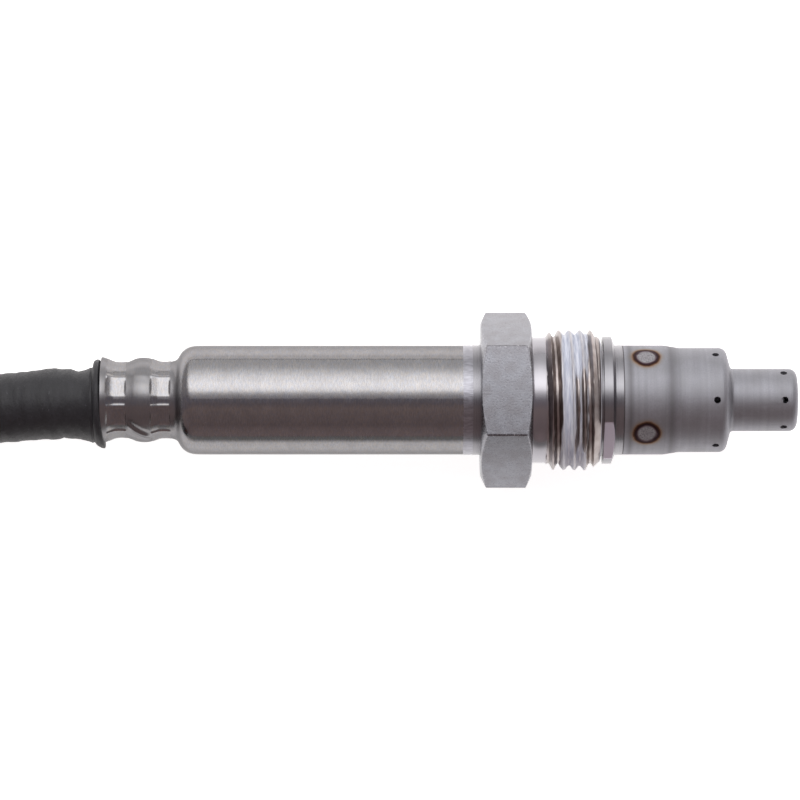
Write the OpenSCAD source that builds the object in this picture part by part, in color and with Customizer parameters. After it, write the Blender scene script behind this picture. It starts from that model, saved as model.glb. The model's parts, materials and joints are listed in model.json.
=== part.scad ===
// Nitrogen oxide sensor for an exhaust pipe. It lies on its hex nut, and its cable is coiled beside it.
// X runs along the probe towards its tip, and Z is up. The origin is under the middle of the probe.
// Lengths along the probe are counted from the seat, which is the rear face of the collar.

/* [Hex nut] */
// Width of the hexagon across its flats
nut_across_flats = 22; // [21:0.5:26]
// Length of the hexagon along the probe
hex_length = 7.2; // [5:0.1:10]
// Slope of the chamfer on both ends of the hexagon, in degrees from the end face
hex_chamfer_angle = 25; // [15:1:35]
// How far the round land on each end of the hexagon is set in from its flats
hex_land_inset = 0.15; // [0.05:0.05:1]
// Diameter of the plain relief between the hexagon and the thread
relief_d = 17.9; // [17.5:0.1:18.5]
// Length of the relief
relief_length = 2.1; // [1:0.1:4]
// Outer diameter of the thread
thread_d = 20; // [19.5:0.1:20.5]
// Length of the full thread
thread_length = 6.3; // [4:0.1:12]
// Diameter at the front end of the thread, after its lead
thread_lead_d = 17.3; // [17:0.1:18]
// Length of the tapered lead in front of the thread
thread_lead_length = 1.35; // [0.8:0.05:2]
// Gap between the nut and the collar that it presses on
nut_gap = 0.35; // [0.2:0.05:1]
// Gap all round between the nut and the shell that it turns on
nut_clearance = 0.08; // [0.05:0.01:0.1]

/* [Shell] */
// Diameter of the shell where the nut turns on it
shell_d = 15.6; // [15.2:0.1:16]
// Diameter of the collar
collar_d = 18.1; // [17.6:0.1:18.6]
// Thickness of the collar
collar_thickness = 1.65; // [1:0.05:3]
// Length of the cone on the collar's front, along the probe
collar_chamfer = 0.45; // [0.2:0.05:0.8]
// Diameter of that cone where it ends
collar_cone_d = 16; // [15.7:0.1:17]
// Depth of the index flat on the rim of the collar
index_flat_depth = 0.67; // [0.3:0.01:0.9]
// Angle of the index flat from straight up, towards the front side
index_flat_angle = 50; // [0:1:359]
// Length of the round band between the collar and the protector
band_length = 1.1; // [0.6:0.1:2]
// Length of the spigot inside the sleeve of the protector
spigot_length = 5.6; // [4:0.1:6]
// Thickness of the spigot around the inner protector's ring
spigot_wall = 0.65; // [0.5:0.05:0.9]
// Inner diameter of the shell around the ceramics
shell_bore_d = 11.6; // [11:0.1:12]
// Diameter of the passage through the inner ledge
ledge_bore_d = 8; // [6:0.1:9]
// Thickness of the inner ledge
ledge_thickness = 2.4; // [1.5:0.1:4]
// Length of the stub inside the rear tube
stub_length = 2.2; // [1.5:0.1:3]
// Thickness of the crimped rim
rim_thickness = 0.8; // [0.5:0.1:1.2]

/* [Outer protector] */
// Thickness of its sheet
protector_wall = 0.5; // [0.3:0.05:0.7]
// Diameter of the sleeve that is welded to the shell
sleeve_d = 15.5; // [15.2:0.1:16]
// Length of the sleeve
sleeve_length = 5.9; // [5:0.1:8]
// Diameter of the chamber in front of the sleeve
chamber_d = 14.8; // [14.2:0.1:15]
// Length of the chamber, with the step from the sleeve
chamber_length = 8.95; // [6:0.05:12]
// Length of the step between sleeve and chamber
sleeve_step_length = 2.2; // [0.6:0.1:3]
// Radius of the rounded front edge of the chamber
chamber_round = 1.1; // [0.6:0.1:2]
// How far the front face of the chamber slopes forward to the tip tube
chamber_face_rise = 0.45; // [0.1:0.05:1]
// Diameter of the tip tube
tip_d = 8.85; // [8:0.05:9.5]
// Length of the tip tube
tip_length = 9.5; // [8:0.1:12]
// Radius of the rounded edge at the end of the tip
tip_round = 1.1; // [0.6:0.1:1.6]
// Fillet at the root of the tip tube
tip_root_fillet = 0.5; // [0.2:0.1:0.8]
// Diameter of the gas holes
gas_hole_d = 0.95; // [0.6:0.05:1.4]
// Number of gas holes in each row
gas_holes = 6; // [4:1:8]
// Distance of the chamber's holes from its front edge
chamber_hole_inset = 1.75; // [1.2:0.05:3]
// Distance of the tip's holes from the end of the tip
tip_hole_inset = 1.95; // [1.4:0.05:3]
// Angle of the first gas hole from straight up, towards the front side
gas_hole_angle = 7; // [0:1:59]
// Diameter of the spot welds that hold the sleeve
weld_spot_d = 2.8; // [2:0.1:3.2]
// Number of spot welds
weld_spots = 4; // [3:1:6]
// Distance of the spot welds from the rear edge of the sleeve
weld_spot_inset = 3.25; // [2:0.1:4]
// Depth of the dimple at each spot weld
weld_spot_depth = 0.1; // [0.05:0.01:0.2]

/* [Inner protector] */
// Thickness of its sheet
inner_wall = 0.35; // [0.25:0.05:0.5]
// Diameter of its chamber
inner_chamber_d = 11.4; // [11:0.1:12]
// Length of the ring in the spigot
inner_ring_length = 4.9; // [3:0.1:6]
// Length of the chamber and its two steps
inner_chamber_length = 7.6; // [6:0.1:9]
// Gap between the inner tube and the tip tube around it
inner_tip_clearance = 0.1; // [0.05:0.01:0.2]
// How far the inner tube reaches across the tip's holes
inner_tip_overlap = 0.25; // [0:0.05:0.45]
// Diameter of the flow holes in its chamber
flow_hole_d = 1.2; // [0.8:0.1:1.6]

/* [Rear tube] */
// Diameter of the rear tube
tube_d = 15.5; // [15.2:0.1:16]
// Thickness of its sheet
tube_wall = 0.5; // [0.3:0.05:0.7]
// Length from its front edge to the shoulder
tube_length = 40.7; // [34:0.1:48]
// How far the rounded shoulder drops from the tube
shoulder_round = 1.4; // [1:0.1:1.6]
// Length of the rounded shoulder along the tube
shoulder_length = 2.6; // [1.8:0.1:4]
// Length of the crimped neck
neck_length = 11.2; // [11:0.1:14]
// Diameter of the neck at its mouth
neck_mouth_d = 12.3; // [11:0.1:12.4]
// Diameter at the bottom of the crimps
crimp_d = 10.65; // [10.2:0.05:11]
// Diameter of the bulge between the crimps
bulge_d = 12.05; // [11.6:0.1:12.6]
// Width of the round floor of each crimp, between the flats
crimp_width = 0.8; // [0.4:0.1:1.2]
// Distance between the two crimps
crimp_pitch = 6.3; // [5.5:0.1:7]
// Distance of the rear crimp from the mouth
crimp_inset = 2.5; // [2:0.1:3]
// Number of jaws that pressed the crimps
crimp_jaws = 8; // [6:1:10]
// Angle of the first jaw from straight up, towards the front side
crimp_jaw_angle = 39.5; // [0:0.5:45]
// How far each jaw pressed its flat into the crimp
jaw_depth = 0.32; // [0.1:0.01:0.4]
// Width of each jaw's flat, along the neck
jaw_width = 2.1; // [1.4:0.1:2.4]
// Width of the weld bead between shell and tube
bead_width = 1.4; // [1:0.1:2]
// How far the weld bead stands proud
bead_height = 0.03; // [0.02:0.01:0.06]

/* [Sensing element and ceramics] */
// Width of the ceramic element
element_width = 4.2; // [3.6:0.1:4.6]
// Thickness of the ceramic element
element_thickness = 1.4; // [1.2:0.1:1.8]
// Length of the ceramic element
element_length = 59; // [57:0.5:60]
// How far the element reaches in front of the seat
element_reach = 16.5; // [15.5:0.5:17]
// Gap all round between the element and the slots around it
element_clearance = 0.1; // [0.05:0.05:0.2]
// Gap all round between the ceramics and the shell
ceramic_clearance = 0.05; // [0.03:0.01:0.1]
// Length of the front ceramic
front_ceramic_length = 6; // [4:0.5:8]
// Length of each talc ring
talc_length = 3; // [2:0.5:4]
// Length of the ceramic between the talc rings
middle_ceramic_length = 2; // [1.5:0.5:3]
// Length of the flange of the rear ceramic
rear_flange_length = 3; // [2:0.5:4]
// Diameter of the stem of the rear ceramic
rear_stem_d = 9; // [8:0.1:9.4]
// Length of the stem of the rear ceramic
rear_stem_length = 8; // [6:0.5:10]

/* [Contacts and wires] */
// Diameter of the ceramic contact holder
holder_d = 11; // [10:0.1:12]
// Length of the contact holder
holder_length = 16; // [14:0.5:18]
// Distance from the rear ceramic to the contact holder
holder_gap = 6; // [5:0.1:6.4]
// Width and height of the window in the holder, around the element
window_size = 6.2; // [6.1:0.1:6.5]
// Gap between the end of the element and the end of the window
window_clearance = 0.2; // [0.1:0.05:0.5]
// Width of each contact strip
contact_width = 0.7; // [0.5:0.05:0.8]
// Thickness of each contact strip
contact_thickness = 0.3; // [0.2:0.05:0.4]
// Distance between neighbouring contacts
contact_pitch = 1.05; // [0.9:0.05:1.1]
// Diameter of each insulated wire
wire_d = 1.7; // [1.4:0.1:1.8]
// Diameter of the circle that the wires lie on
wire_circle_d = 6; // [5.8:0.1:6.2]
// Length of each crimp barrel
barrel_length = 4; // [3:0.5:5]
// Gap all round between a wire and its hole in the grommet
wire_clearance = 0.05; // [0.03:0.01:0.1]

/* [Grommet and sleeve end] */
// Gap between the grommet and the tube around it
grommet_clearance = 0.05; // [0.03:0.01:0.1]
// Length of the grommet's head, in front of the shoulder
grommet_head_length = 4; // [3:0.5:6]
// Length of the grommet's tail behind the neck
grommet_tail_length = 3; // [2:0.1:3.4]
// Length of the flared end of the cable sleeve
flare_length = 3.7; // [3.6:0.1:6]
// Diameter of the lip against the neck
flare_lip_d = 12.35; // [11.8:0.1:13]
// Thickness of the sleeve
sleeve_wall = 0.9; // [0.6:0.1:1.2]

/* [Cable] */
// Diameter of the cable in its sleeve
cable_d = 9.8; // [9:0.1:10]
// Radius of the coil where it starts
coil_r = 53; // [52:0.5:54]
// Distance from one turn of the coil to the next
coil_pitch = 10; // [10:0.1:11]
// Width of each cable tie
tie_width = 4; // [2.5:0.5:6]
// Thickness of each cable tie
tie_thickness = 1; // [0.8:0.1:1.5]
// Size of the block that locks each tie
tie_head = 5; // [4:0.5:7]

/* [Plug] */
// Width of the plug housing
plug_width = 20; // [18:0.5:22]
// Height of the plug housing
plug_height = 13; // [12:0.5:15]
// Length of the plug housing behind its nose
plug_body_length = 16; // [14:0.5:20]
// Length of the plug's nose
plug_nose_length = 9; // [7:0.5:11]
// How far the nose is set in from the housing
plug_nose_inset = 2; // [1.5:0.1:2.5]
// Length of the rear cap
plug_cap_length = 8; // [6:0.5:10]
// Distance between terminals across the plug
terminal_pitch = 3.4; // [3:0.1:3.6]
// Distance between the two rows of terminals
terminal_row_gap = 4; // [3.6:0.1:4.4]
// Width of each terminal
terminal_width = 1.2; // [1:0.1:1.6]

/* [Hidden] */
$fn = 96;

// Colours, as the finishes look
steel_satin = "#a7a5a6";
steel_brushed = "#9d9a9b";
steel_blasted = "#9a9a9c";
steel_bright = "#c9c9cd";
ceramic_white = "#ece8df";
talc_grey = "#c9c6bd";
rubber_black = "#242428";
sleeve_black = "#37373c";
contact_metal = "#b9b4a4";
wire_colours = "#d8d4cc";
plug_grey = "#3c3d40";
seal_orange = "#c65a1e";

// Stations along the probe, from the seat
over = 0.01; // how far a cut runs past the face that it opens
band_x = collar_thickness;
sleeve_x = band_x + band_length;
chamber_x = sleeve_x + sleeve_length;
shoulder_x = chamber_x + chamber_length;
tip_x = shoulder_x + tip_length + chamber_face_rise;
nut_x = -nut_gap;
thread_x = nut_x - thread_lead_length - thread_length;
relief_x = thread_x - relief_length;
hex_x = relief_x - hex_length;
bead_front_x = hex_x - 1.1;
tube_x = bead_front_x - bead_width / 2;
tube_end_x = tube_x - tube_length;
mouth_x = tube_end_x - neck_length;
cable_x = mouth_x - flare_length;
middle_x = (tip_x + cable_x) / 2;
axis_z = nut_across_flats / 2;

// Radii
shell_r = shell_d / 2;
tube_r = tube_d / 2;
tube_inner_r = tube_r - tube_wall;
bore_r = shell_bore_d / 2;
stub_r = tube_inner_r - ceramic_clearance;
spigot_r = sleeve_d / 2 - protector_wall - ceramic_clearance;
ceramic_r = bore_r - ceramic_clearance;
spigot_bore_r = spigot_r - spigot_wall;
tip_inner_r = tip_d / 2 - protector_wall;

// The stack of ceramics, from the ledge backwards
ledge_x = sleeve_x - ledge_thickness;
front_talc_x = ledge_x - front_ceramic_length;
middle_x0 = front_talc_x - talc_length;
rear_talc_x = middle_x0 - middle_ceramic_length;
rear_ceramic_x = rear_talc_x - talc_length;
packing_x = rear_ceramic_x - rear_flange_length;
packing_length = 1;
rim_x = packing_x - packing_length;
stem_end_x = packing_x - rear_stem_length;
holder_x = stem_end_x - holder_gap;
holder_end_x = holder_x - holder_length;
element_end_x = element_reach - element_length;
barrel_x = holder_end_x - 0.5;
wire_count = 8;
wires_per_side = wire_count / 2;

// Crimped neck
crimp_rear_x = mouth_x + crimp_inset;
crimp_front_x = crimp_rear_x + crimp_pitch;
groove_blend = 2.3; // length of the curve from the floor of a crimp to the surface beside it

// Cable. The route's points are places on the floor and above it, in millimetres.
cable_r = cable_d / 2;
coil_start_angle = 90; // where the cable joins the coil
coil_end_angle = 520; // where it starts to climb onto the coil
coil_join = [-121.5, 7.5];
coil_centre = coil_join - [0, coil_r];
run_route = [
    [-51.2, -0.5, 11], [-53.4, -0.5, 11], [-57.5, -0.8, 10.75], [-63, -1.1, 9.9], [-69, -0.8, 8.8],
    [-76, 0.5, 7.5], [-84, 2.3, 6.3], [-93, 4.5, 5.4], [-102, 6.3, 5], [-111, 7.2, 4.9],
    [coil_join[0], coil_join[1], cable_r]
];
tail_route = [
    [-160.1, -31.5, 4.9], [-161.8, -39.8, 5.2], [-161.8, -48.3, 6], [-160.1, -56.6, 7.3],
    [-157.2, -64.5, 8.8], [-152.8, -71.8, 10.4], [-147.1, -78.2, 12.1], [-139.8, -83, 13.7],
    [-130.9, -86.2, 15.1], [-121.5, -87.3, 16.1], [-117.5, -87.3, 16.4], [-113.6, -87.3, 16.4]
];
plug_place = [-109.5, -87.3, 16.4];
ring_sides = 10;
tie_angles = [102, 148];

function reversed(points) = [for (i = [len(points) - 1:-1:0]) points[i]];
// Points of an arc about a centre [x, r], from one angle to another. Its two radii are along x and along r.
function oval_arc(centre, radii, from, to, steps) = [
    for (i = [0:steps])
        let (angle = from + (to - from) * i / steps)
        centre + [radii[0] * cos(angle), radii[1] * sin(angle)]
];
function arc(centre, radius, from, to, steps = 6) = oval_arc(centre, [radius, radius], from, to, steps);
function unit(v) = v / norm(v);
function left_of(v) = [-v[1], v[0]];
// The line moved sideways by a distance, with its corners mitred
function moved_sideways(line, distance) = [
    for (i = [0:len(line) - 1])
        let (before = unit(line[max(i, 1)] - line[max(i, 1) - 1]),
             after = unit(line[min(i, len(line) - 2) + 1] - line[min(i, len(line) - 2)]),
             normal = unit(left_of(before) + left_of(after)))
        line[i] + normal * distance / (normal * left_of(before))
];
function smooth(t) = let (u = min(max(t, 0), 1)) u * u * (3 - 2 * u);

// Puts a piece that is drawn along its own X axis onto the probe's axis
module on_axis() translate([-middle_x, 0, axis_z]) children();
// A turned solid from its section, a list of [x, radius]
module turned(section) rotate([0, 90, 0]) rotate_extrude() polygon([for (p = section) [p[1], p[0]]]);
// A turned sheet from its outer line and its thickness
module drawn_sheet(line, wall) turned(concat(line, reversed(moved_sideways(line, -wall))));
module rod(x, length, d) translate([x, 0, 0]) rotate([0, 90, 0]) cylinder(h = length, d = d);
// Copies children around the axis. An angle of 0 is straight up, and it grows towards the front side.
module around(count, first = 0)
    for (i = [0:count - 1]) rotate([first + i * 360 / count, 0, 0]) children();
module element_slot(x, length)
    translate([x, -element_width / 2 - element_clearance, -element_thickness / 2 - element_clearance])
        cube([length, element_width + 2 * element_clearance, element_thickness + 2 * element_clearance]);

// Deep-drawn cup with a sleeve, a chamber and a tip tube, and two rows of gas holes
module outer_protector() {
    sleeve_r = sleeve_d / 2;
    chamber_r = chamber_d / 2;
    tip_r = tip_d / 2;
    face_angle = atan(chamber_face_rise / (chamber_r - chamber_round - tip_r));
    root_x = shoulder_x + chamber_face_rise + tip_root_fillet;
    outline = concat(
        [[sleeve_x, sleeve_r], [chamber_x, sleeve_r], [chamber_x + sleeve_step_length, chamber_r]],
        arc([shoulder_x - chamber_round, chamber_r - chamber_round], chamber_round, 90, face_angle),
        arc([root_x, tip_r + tip_root_fillet], tip_root_fillet, 180 + face_angle, 270, 4),
        arc([tip_x - tip_round, tip_r - tip_round], tip_round, 90, 0),
        [[tip_x, 0]]
    );
    color(steel_satin) difference() {
        drawn_sheet(outline, protector_wall);
        around(gas_holes, gas_hole_angle) {
            translate([shoulder_x - chamber_hole_inset, 0, chamber_r - 2 * protector_wall])
                cylinder(h = 3 * protector_wall, d = gas_hole_d, $fn = 32);
            translate([tip_x - tip_hole_inset, 0, tip_r - 2 * protector_wall])
                cylinder(h = 3 * protector_wall, d = gas_hole_d, $fn = 32);
        }
        around(weld_spots, 180 / weld_spots)
            translate([sleeve_x + weld_spot_inset, 0, sleeve_r - weld_spot_depth])
                cylinder(h = 1, d = weld_spot_d, $fn = 48);
    }
}

// Stepped tube inside the outer protector, open at its front end
module inner_protector() {
    ring_r = spigot_bore_r - ceramic_clearance;
    chamber_r = inner_chamber_d / 2;
    neck_r = tip_inner_r - inner_tip_clearance;
    ring_end_x = sleeve_x + inner_ring_length;
    chamber_end_x = ring_end_x + inner_chamber_length;
    end_x = tip_x - tip_hole_inset - gas_hole_d / 2 + inner_tip_overlap;
    step = 1;
    outline = [
        [sleeve_x, ring_r], [ring_end_x, ring_r], [ring_end_x + step, chamber_r],
        [chamber_end_x - 2 * step, chamber_r], [chamber_end_x, neck_r + 0.5], [chamber_end_x + step, neck_r],
        [end_x, neck_r]
    ];
    color(steel_bright) difference() {
        drawn_sheet(outline, inner_wall);
        around(gas_holes, gas_hole_angle + 180 / gas_holes)
            translate([ring_end_x + step + flow_hole_d, 0, chamber_r - 2 * inner_wall])
                cylinder(h = 3 * inner_wall, d = flow_hole_d, $fn = 32);
    }
}

// Turned body with the collar that seals on the exhaust boss
module metal_shell() {
    collar_r = collar_d / 2;
    spigot_end_x = sleeve_x + spigot_length;
    stub_end_x = tube_x - stub_length;
    outline = [
        [stub_end_x, stub_r], [tube_x, stub_r], [tube_x, tube_r], [bead_front_x, tube_r],
        [bead_front_x, shell_r], [0, shell_r], [0, collar_r], [collar_thickness - collar_chamfer, collar_r],
        [collar_thickness, collar_cone_d / 2], [collar_thickness, shell_r], [sleeve_x, shell_r],
        [sleeve_x, spigot_r], [spigot_end_x, spigot_r]
    ];
    bore = [
        [spigot_end_x, spigot_bore_r], [sleeve_x, spigot_bore_r], [sleeve_x, ledge_bore_d / 2],
        [ledge_x, ledge_bore_d / 2], [ledge_x, bore_r],
        [rim_x, bore_r], [rim_x, rear_stem_d / 2 + 0.3], [rim_x - rim_thickness, rear_stem_d / 2 + 0.3],
        [rim_x - rim_thickness, bore_r], [stub_end_x, bore_r]
    ];
    color(steel_bright) difference() {
        turned(concat(outline, bore));
        rotate([index_flat_angle, 0, 0])
            translate([-over, -collar_r, collar_r - index_flat_depth])
                cube([collar_thickness + over, collar_d, collar_r]);
    }
}

// Hex nut with its thread. It turns freely on the shell and presses on the collar.
module union_nut() {
    land_r = nut_across_flats / 2 - hex_land_inset;
    corner_r = nut_across_flats / sqrt(3);
    chamfer = (corner_r - land_r) * tan(hex_chamfer_angle);
    chamfered = [
        [hex_x, 0], [hex_x, land_r], [hex_x + chamfer, corner_r],
        [relief_x - chamfer, corner_r], [relief_x, land_r], [relief_x, 0]
    ];
    stem = [
        [relief_x - 1, 0], [relief_x - 1, relief_d / 2], [thread_x, relief_d / 2],
        [thread_x + (thread_d - relief_d) / 2, thread_d / 2], [thread_x + thread_length, thread_d / 2],
        [nut_x, thread_lead_d / 2], [nut_x, 0]
    ];
    color(steel_blasted) difference() {
        union() {
            intersection() {
                translate([hex_x, 0, 0]) rotate([90, 0, 90])
                    cylinder(h = hex_length, r = corner_r, $fn = 6);
                turned(chamfered);
            }
            turned(stem);
        }
        rod(hex_x - 1, nut_x - hex_x + 2, shell_d + 2 * nut_clearance);
    }
}

// Bead of the laser weld that joins the rear tube to the shell
module weld_bead()
    color(steel_bright) turned([
        [tube_x - bead_width / 2, tube_r], [tube_x - bead_width / 4, tube_r + bead_height],
        [tube_x + bead_width / 4, tube_r + bead_height], [tube_x + bead_width / 2, tube_r]
    ]);

// Radius of the crimped neck at a place along it: two flat-bottomed crimps with a bulge between them
function beside_crimps(x) =
    let (between = smooth((x - mouth_x) / (2 * crimp_inset)),
         past = smooth((x - crimp_front_x - crimp_width / 2) / groove_blend))
    (neck_mouth_d + (bulge_d - neck_mouth_d) * between) / 2 - 0.25 * past;
function crimp_depth(x, at) = 1 - smooth((abs(x - at) - crimp_width / 2) / groove_blend);
function neck_radius(x) =
    let (depth = max(crimp_depth(x, crimp_rear_x), crimp_depth(x, crimp_front_x)))
    beside_crimps(x) + (crimp_d / 2 - beside_crimps(x)) * depth;
neck_steps = 42;
neck_front_x = tube_end_x - 0.35;
// The neck's outline, with the crimps deeper by a given depth
function neck_line(deeper = 0) = [
    for (i = [0:neck_steps])
        let (x = mouth_x + (neck_front_x - mouth_x) * i / neck_steps,
             depth = max(crimp_depth(x, crimp_rear_x), crimp_depth(x, crimp_front_x)))
        [x, neck_radius(x) - deeper * depth]
];
shoulder_centre = [tube_end_x + shoulder_length, tube_r - shoulder_round];
shoulder_start_angle = 165; // where the shoulder's curve leaves the neck
shoulder_root = [tube_end_x - 0.1, shoulder_centre[1] - 0.2];
function tube_line(deeper = 0) = concat(
    neck_line(deeper),
    [shoulder_root],
    oval_arc(shoulder_centre, [shoulder_length, shoulder_round], shoulder_start_angle, 90, 8),
    [[tube_x, tube_r]]
);
// Inside of the tube, up to its mouth. In the crimps the jaws pushed the sheet in as far as their flats.
tube_inside = [
    for (p = moved_sideways(tube_line(jaw_depth + 0.1), -tube_wall)) [max(p[0], mouth_x), p[1]]
];

// Drawn tube that covers the contacts, with its neck crimped onto the grommet
module rear_tube() {
    flat_r = crimp_d / 2 - jaw_depth;
    jaw_span = 2 * flat_r * tan(180 / crimp_jaws);
    jaw_slope = 0.6; // how far each side of a jaw's print leans out
    print_r = jaw_width / 2;
    print = [[-print_r, 0], [print_r, 0], [print_r + jaw_slope, 1], [-print_r - jaw_slope, 1]];
    color(steel_brushed) difference() {
        turned(concat(tube_line(), reversed(tube_inside)));
        for (at = [crimp_rear_x, crimp_front_x])
            around(crimp_jaws, crimp_jaw_angle)
                translate([at, jaw_span / 2, flat_r]) rotate([90, 0, 0])
                    linear_extrude(jaw_span) polygon(print);
    }
}

// Layered ceramic bar that senses the gas. Its front end stands in the gas.
module sensing_element() {
    edge = 0.3;
    half_width = element_width / 2;
    outline = [
        [element_end_x, -half_width], [element_reach - edge, -half_width], [element_reach, edge - half_width],
        [element_reach, half_width - edge], [element_reach - edge, half_width], [element_end_x, half_width]
    ];
    color(ceramic_white)
        translate([0, 0, -element_thickness / 2]) linear_extrude(element_thickness) polygon(outline);
}

// A ring of the stack that holds the element in the shell
module stack_ring(x, length) difference() {
    rod(x, length, 2 * ceramic_r);
    element_slot(x - over, length + 2 * over);
}
module front_ceramic() color(ceramic_white) stack_ring(front_talc_x, front_ceramic_length);
module front_talc() color(talc_grey) stack_ring(middle_x0, talc_length);
module middle_ceramic() color(ceramic_white) stack_ring(rear_talc_x, middle_ceramic_length);
module rear_talc() color(talc_grey) stack_ring(rear_ceramic_x, talc_length);
module rear_ceramic() color(ceramic_white) difference() {
    union() {
        rod(packing_x, rear_flange_length, 2 * ceramic_r);
        rod(stem_end_x, rear_stem_length + over, rear_stem_d);
    }
    element_slot(stem_end_x - over, rear_stem_length + rear_flange_length + 2 * over);
}
// Metal ring between the rear ceramic and the crimped rim of the shell
module packing_ring() color(steel_bright) difference() {
    rod(rim_x, packing_length, 2 * ceramic_r);
    rod(rim_x - over, packing_length + 2 * over, rear_stem_d + 2 * ceramic_clearance);
}

window_length = holder_x - element_end_x + window_clearance;
contact_z = element_thickness / 2 + 0.05;
// Ceramic holder that presses the contacts onto the element
module contact_holder() color(ceramic_white) difference() {
    rod(holder_end_x, holder_length, holder_d);
    translate([holder_x - window_length, -window_size / 2, -window_size / 2])
        cube([window_length + over, window_size, window_size]);
    around(wire_count, 180 / wire_count) translate([0, 0, wire_circle_d / 2])
        rod(holder_end_x - over, holder_length - window_length + 2 * over, wire_d);
}
// Spring ring that centres the holder in the tube
module holder_clip() {
    clip_wall = 0.4;
    clip_length = 7;
    clip_x = holder_x - holder_length / 2 - clip_length / 2;
    tongues = 6;
    tongue_width = 2;
    tongue_r = sqrt(pow(tube_inner_r, 2) - pow(tongue_width / 2, 2)) - 0.02;
    band_r = holder_d / 2 + ceramic_clearance;
    color(contact_metal) union() {
        difference() {
            rod(clip_x, clip_length, 2 * (band_r + clip_wall));
            rod(clip_x - over, clip_length + 2 * over, 2 * band_r);
        }
        around(tongues) translate([clip_x + clip_length / 2, tongue_width / 2, 0]) rotate([90, 0, 0])
            linear_extrude(tongue_width)
                polygon([
                    [-3, band_r + 0.05], [-3, band_r + clip_wall], [1.5, tongue_r], [3, tongue_r],
                    [3, tongue_r - clip_wall], [1.5, tongue_r - clip_wall], [-1.8, band_r + 0.05]
                ]);
    }
}
// One contact: a bowed strip on the element, and a leg that leads back to its crimp
module contact_spring(y, angle) {
    strip_end_x = holder_x - window_length + 1.5;
    bow = window_size / 2 - contact_z - contact_thickness - 0.1;
    leg_d = 0.4;
    pin_d = 0.5;
    strip = [
        [holder_x - 0.5, contact_z + bow], [holder_x - 4, contact_z], [holder_x - 5, contact_z],
        [strip_end_x, contact_z + bow]
    ];
    translate([0, y + contact_width / 2, 0]) rotate([90, 0, 0]) linear_extrude(contact_width)
        polygon(concat(strip, reversed(moved_sideways(strip, -contact_thickness))));
    pin_y = -sin(angle) * wire_circle_d / 2;
    pin_z = cos(angle) * wire_circle_d / 2;
    leg_start = [strip_end_x + 0.4, y, contact_z + bow];
    leg_end = [holder_x - window_length - 0.4, pin_y, pin_z];
    leg = leg_end - leg_start;
    translate(leg_start) rotate([0, acos(leg[2] / norm(leg)), atan2(leg[1], leg[0])])
        cylinder(h = norm(leg), d = leg_d, $fn = 24);
    translate([0, pin_y, pin_z]) rod(barrel_x, leg_end[0] + 0.3 - barrel_x, pin_d);
}
module contact_springs() color(contact_metal)
    for (side = [0, 180]) rotate([side, 0, 0])
        for (i = [0:wires_per_side - 1])
            contact_spring(-(i - (wires_per_side - 1) / 2) * contact_pitch,
                           (i - (wires_per_side - 1) / 2) * 360 / wire_count);
// Crimp barrels between contacts and wires
module wire_crimps() color(contact_metal)
    around(wire_count, 180 / wire_count) translate([0, 0, wire_circle_d / 2])
        rod(barrel_x - barrel_length, barrel_length - 0.05, wire_d);
// Insulated wires, from the crimps through the grommet to the cable
module lead_wires() color(wire_colours)
    around(wire_count, 180 / wire_count) translate([0, 0, wire_circle_d / 2])
        rod(cable_x, barrel_x - barrel_length - 0.05 - cable_x, wire_d);

// Rubber seal in the crimped neck. Its tail carries the end of the cable sleeve.
tail_root_d = flare_lip_d - 2 * sleeve_wall - 0.6;
tail_end_d = cable_d - 2 * sleeve_wall;
module grommet() {
    neck_inside = moved_sideways(tube_inside, -grommet_clearance);
    head_x = tube_end_x + shoulder_length + grommet_head_length;
    head_r = tube_inner_r - grommet_clearance;
    outline = concat(
        [[mouth_x - grommet_tail_length, 0], [mouth_x - grommet_tail_length, tail_end_d / 2],
         [mouth_x - 0.4, tail_root_d / 2], [mouth_x, tail_root_d / 2]],
        [for (p = neck_inside) if (p[0] > mouth_x + 0.05 && p[0] < tube_x - 1) p],
        [[head_x, head_r], [head_x, 0]]
    );
    color(rubber_black) difference() {
        turned(outline);
        around(wire_count, 180 / wire_count) translate([0, 0, wire_circle_d / 2])
            rod(mouth_x - grommet_tail_length - over, head_x - mouth_x + grommet_tail_length + 2 * over,
                wire_d + 2 * wire_clearance);
    }
}
// End of the cable sleeve, stretched over the grommet's tail and flared into a lip
module sleeve_end() {
    lip_r = flare_lip_d / 2;
    gap = grommet_clearance;
    outline = [
        [cable_x, cable_r], [cable_x + 1.1, cable_r + 0.05], [mouth_x - 1.9, cable_r + 0.55],
        [mouth_x - 1.5, cable_r + 0.5], [mouth_x - 0.95, lip_r - 0.15], [mouth_x - 0.7, lip_r],
        [mouth_x - 0.25, lip_r], [mouth_x - gap, lip_r - 0.2]
    ];
    inside = [
        [mouth_x - gap, tail_root_d / 2 + gap], [mouth_x - 0.4, tail_root_d / 2 + gap],
        [mouth_x - grommet_tail_length - gap, tail_end_d / 2 + gap], [cable_x, tail_end_d / 2 + gap]
    ];
    color(sleeve_black) turned(concat(outline, inside));
}

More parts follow.
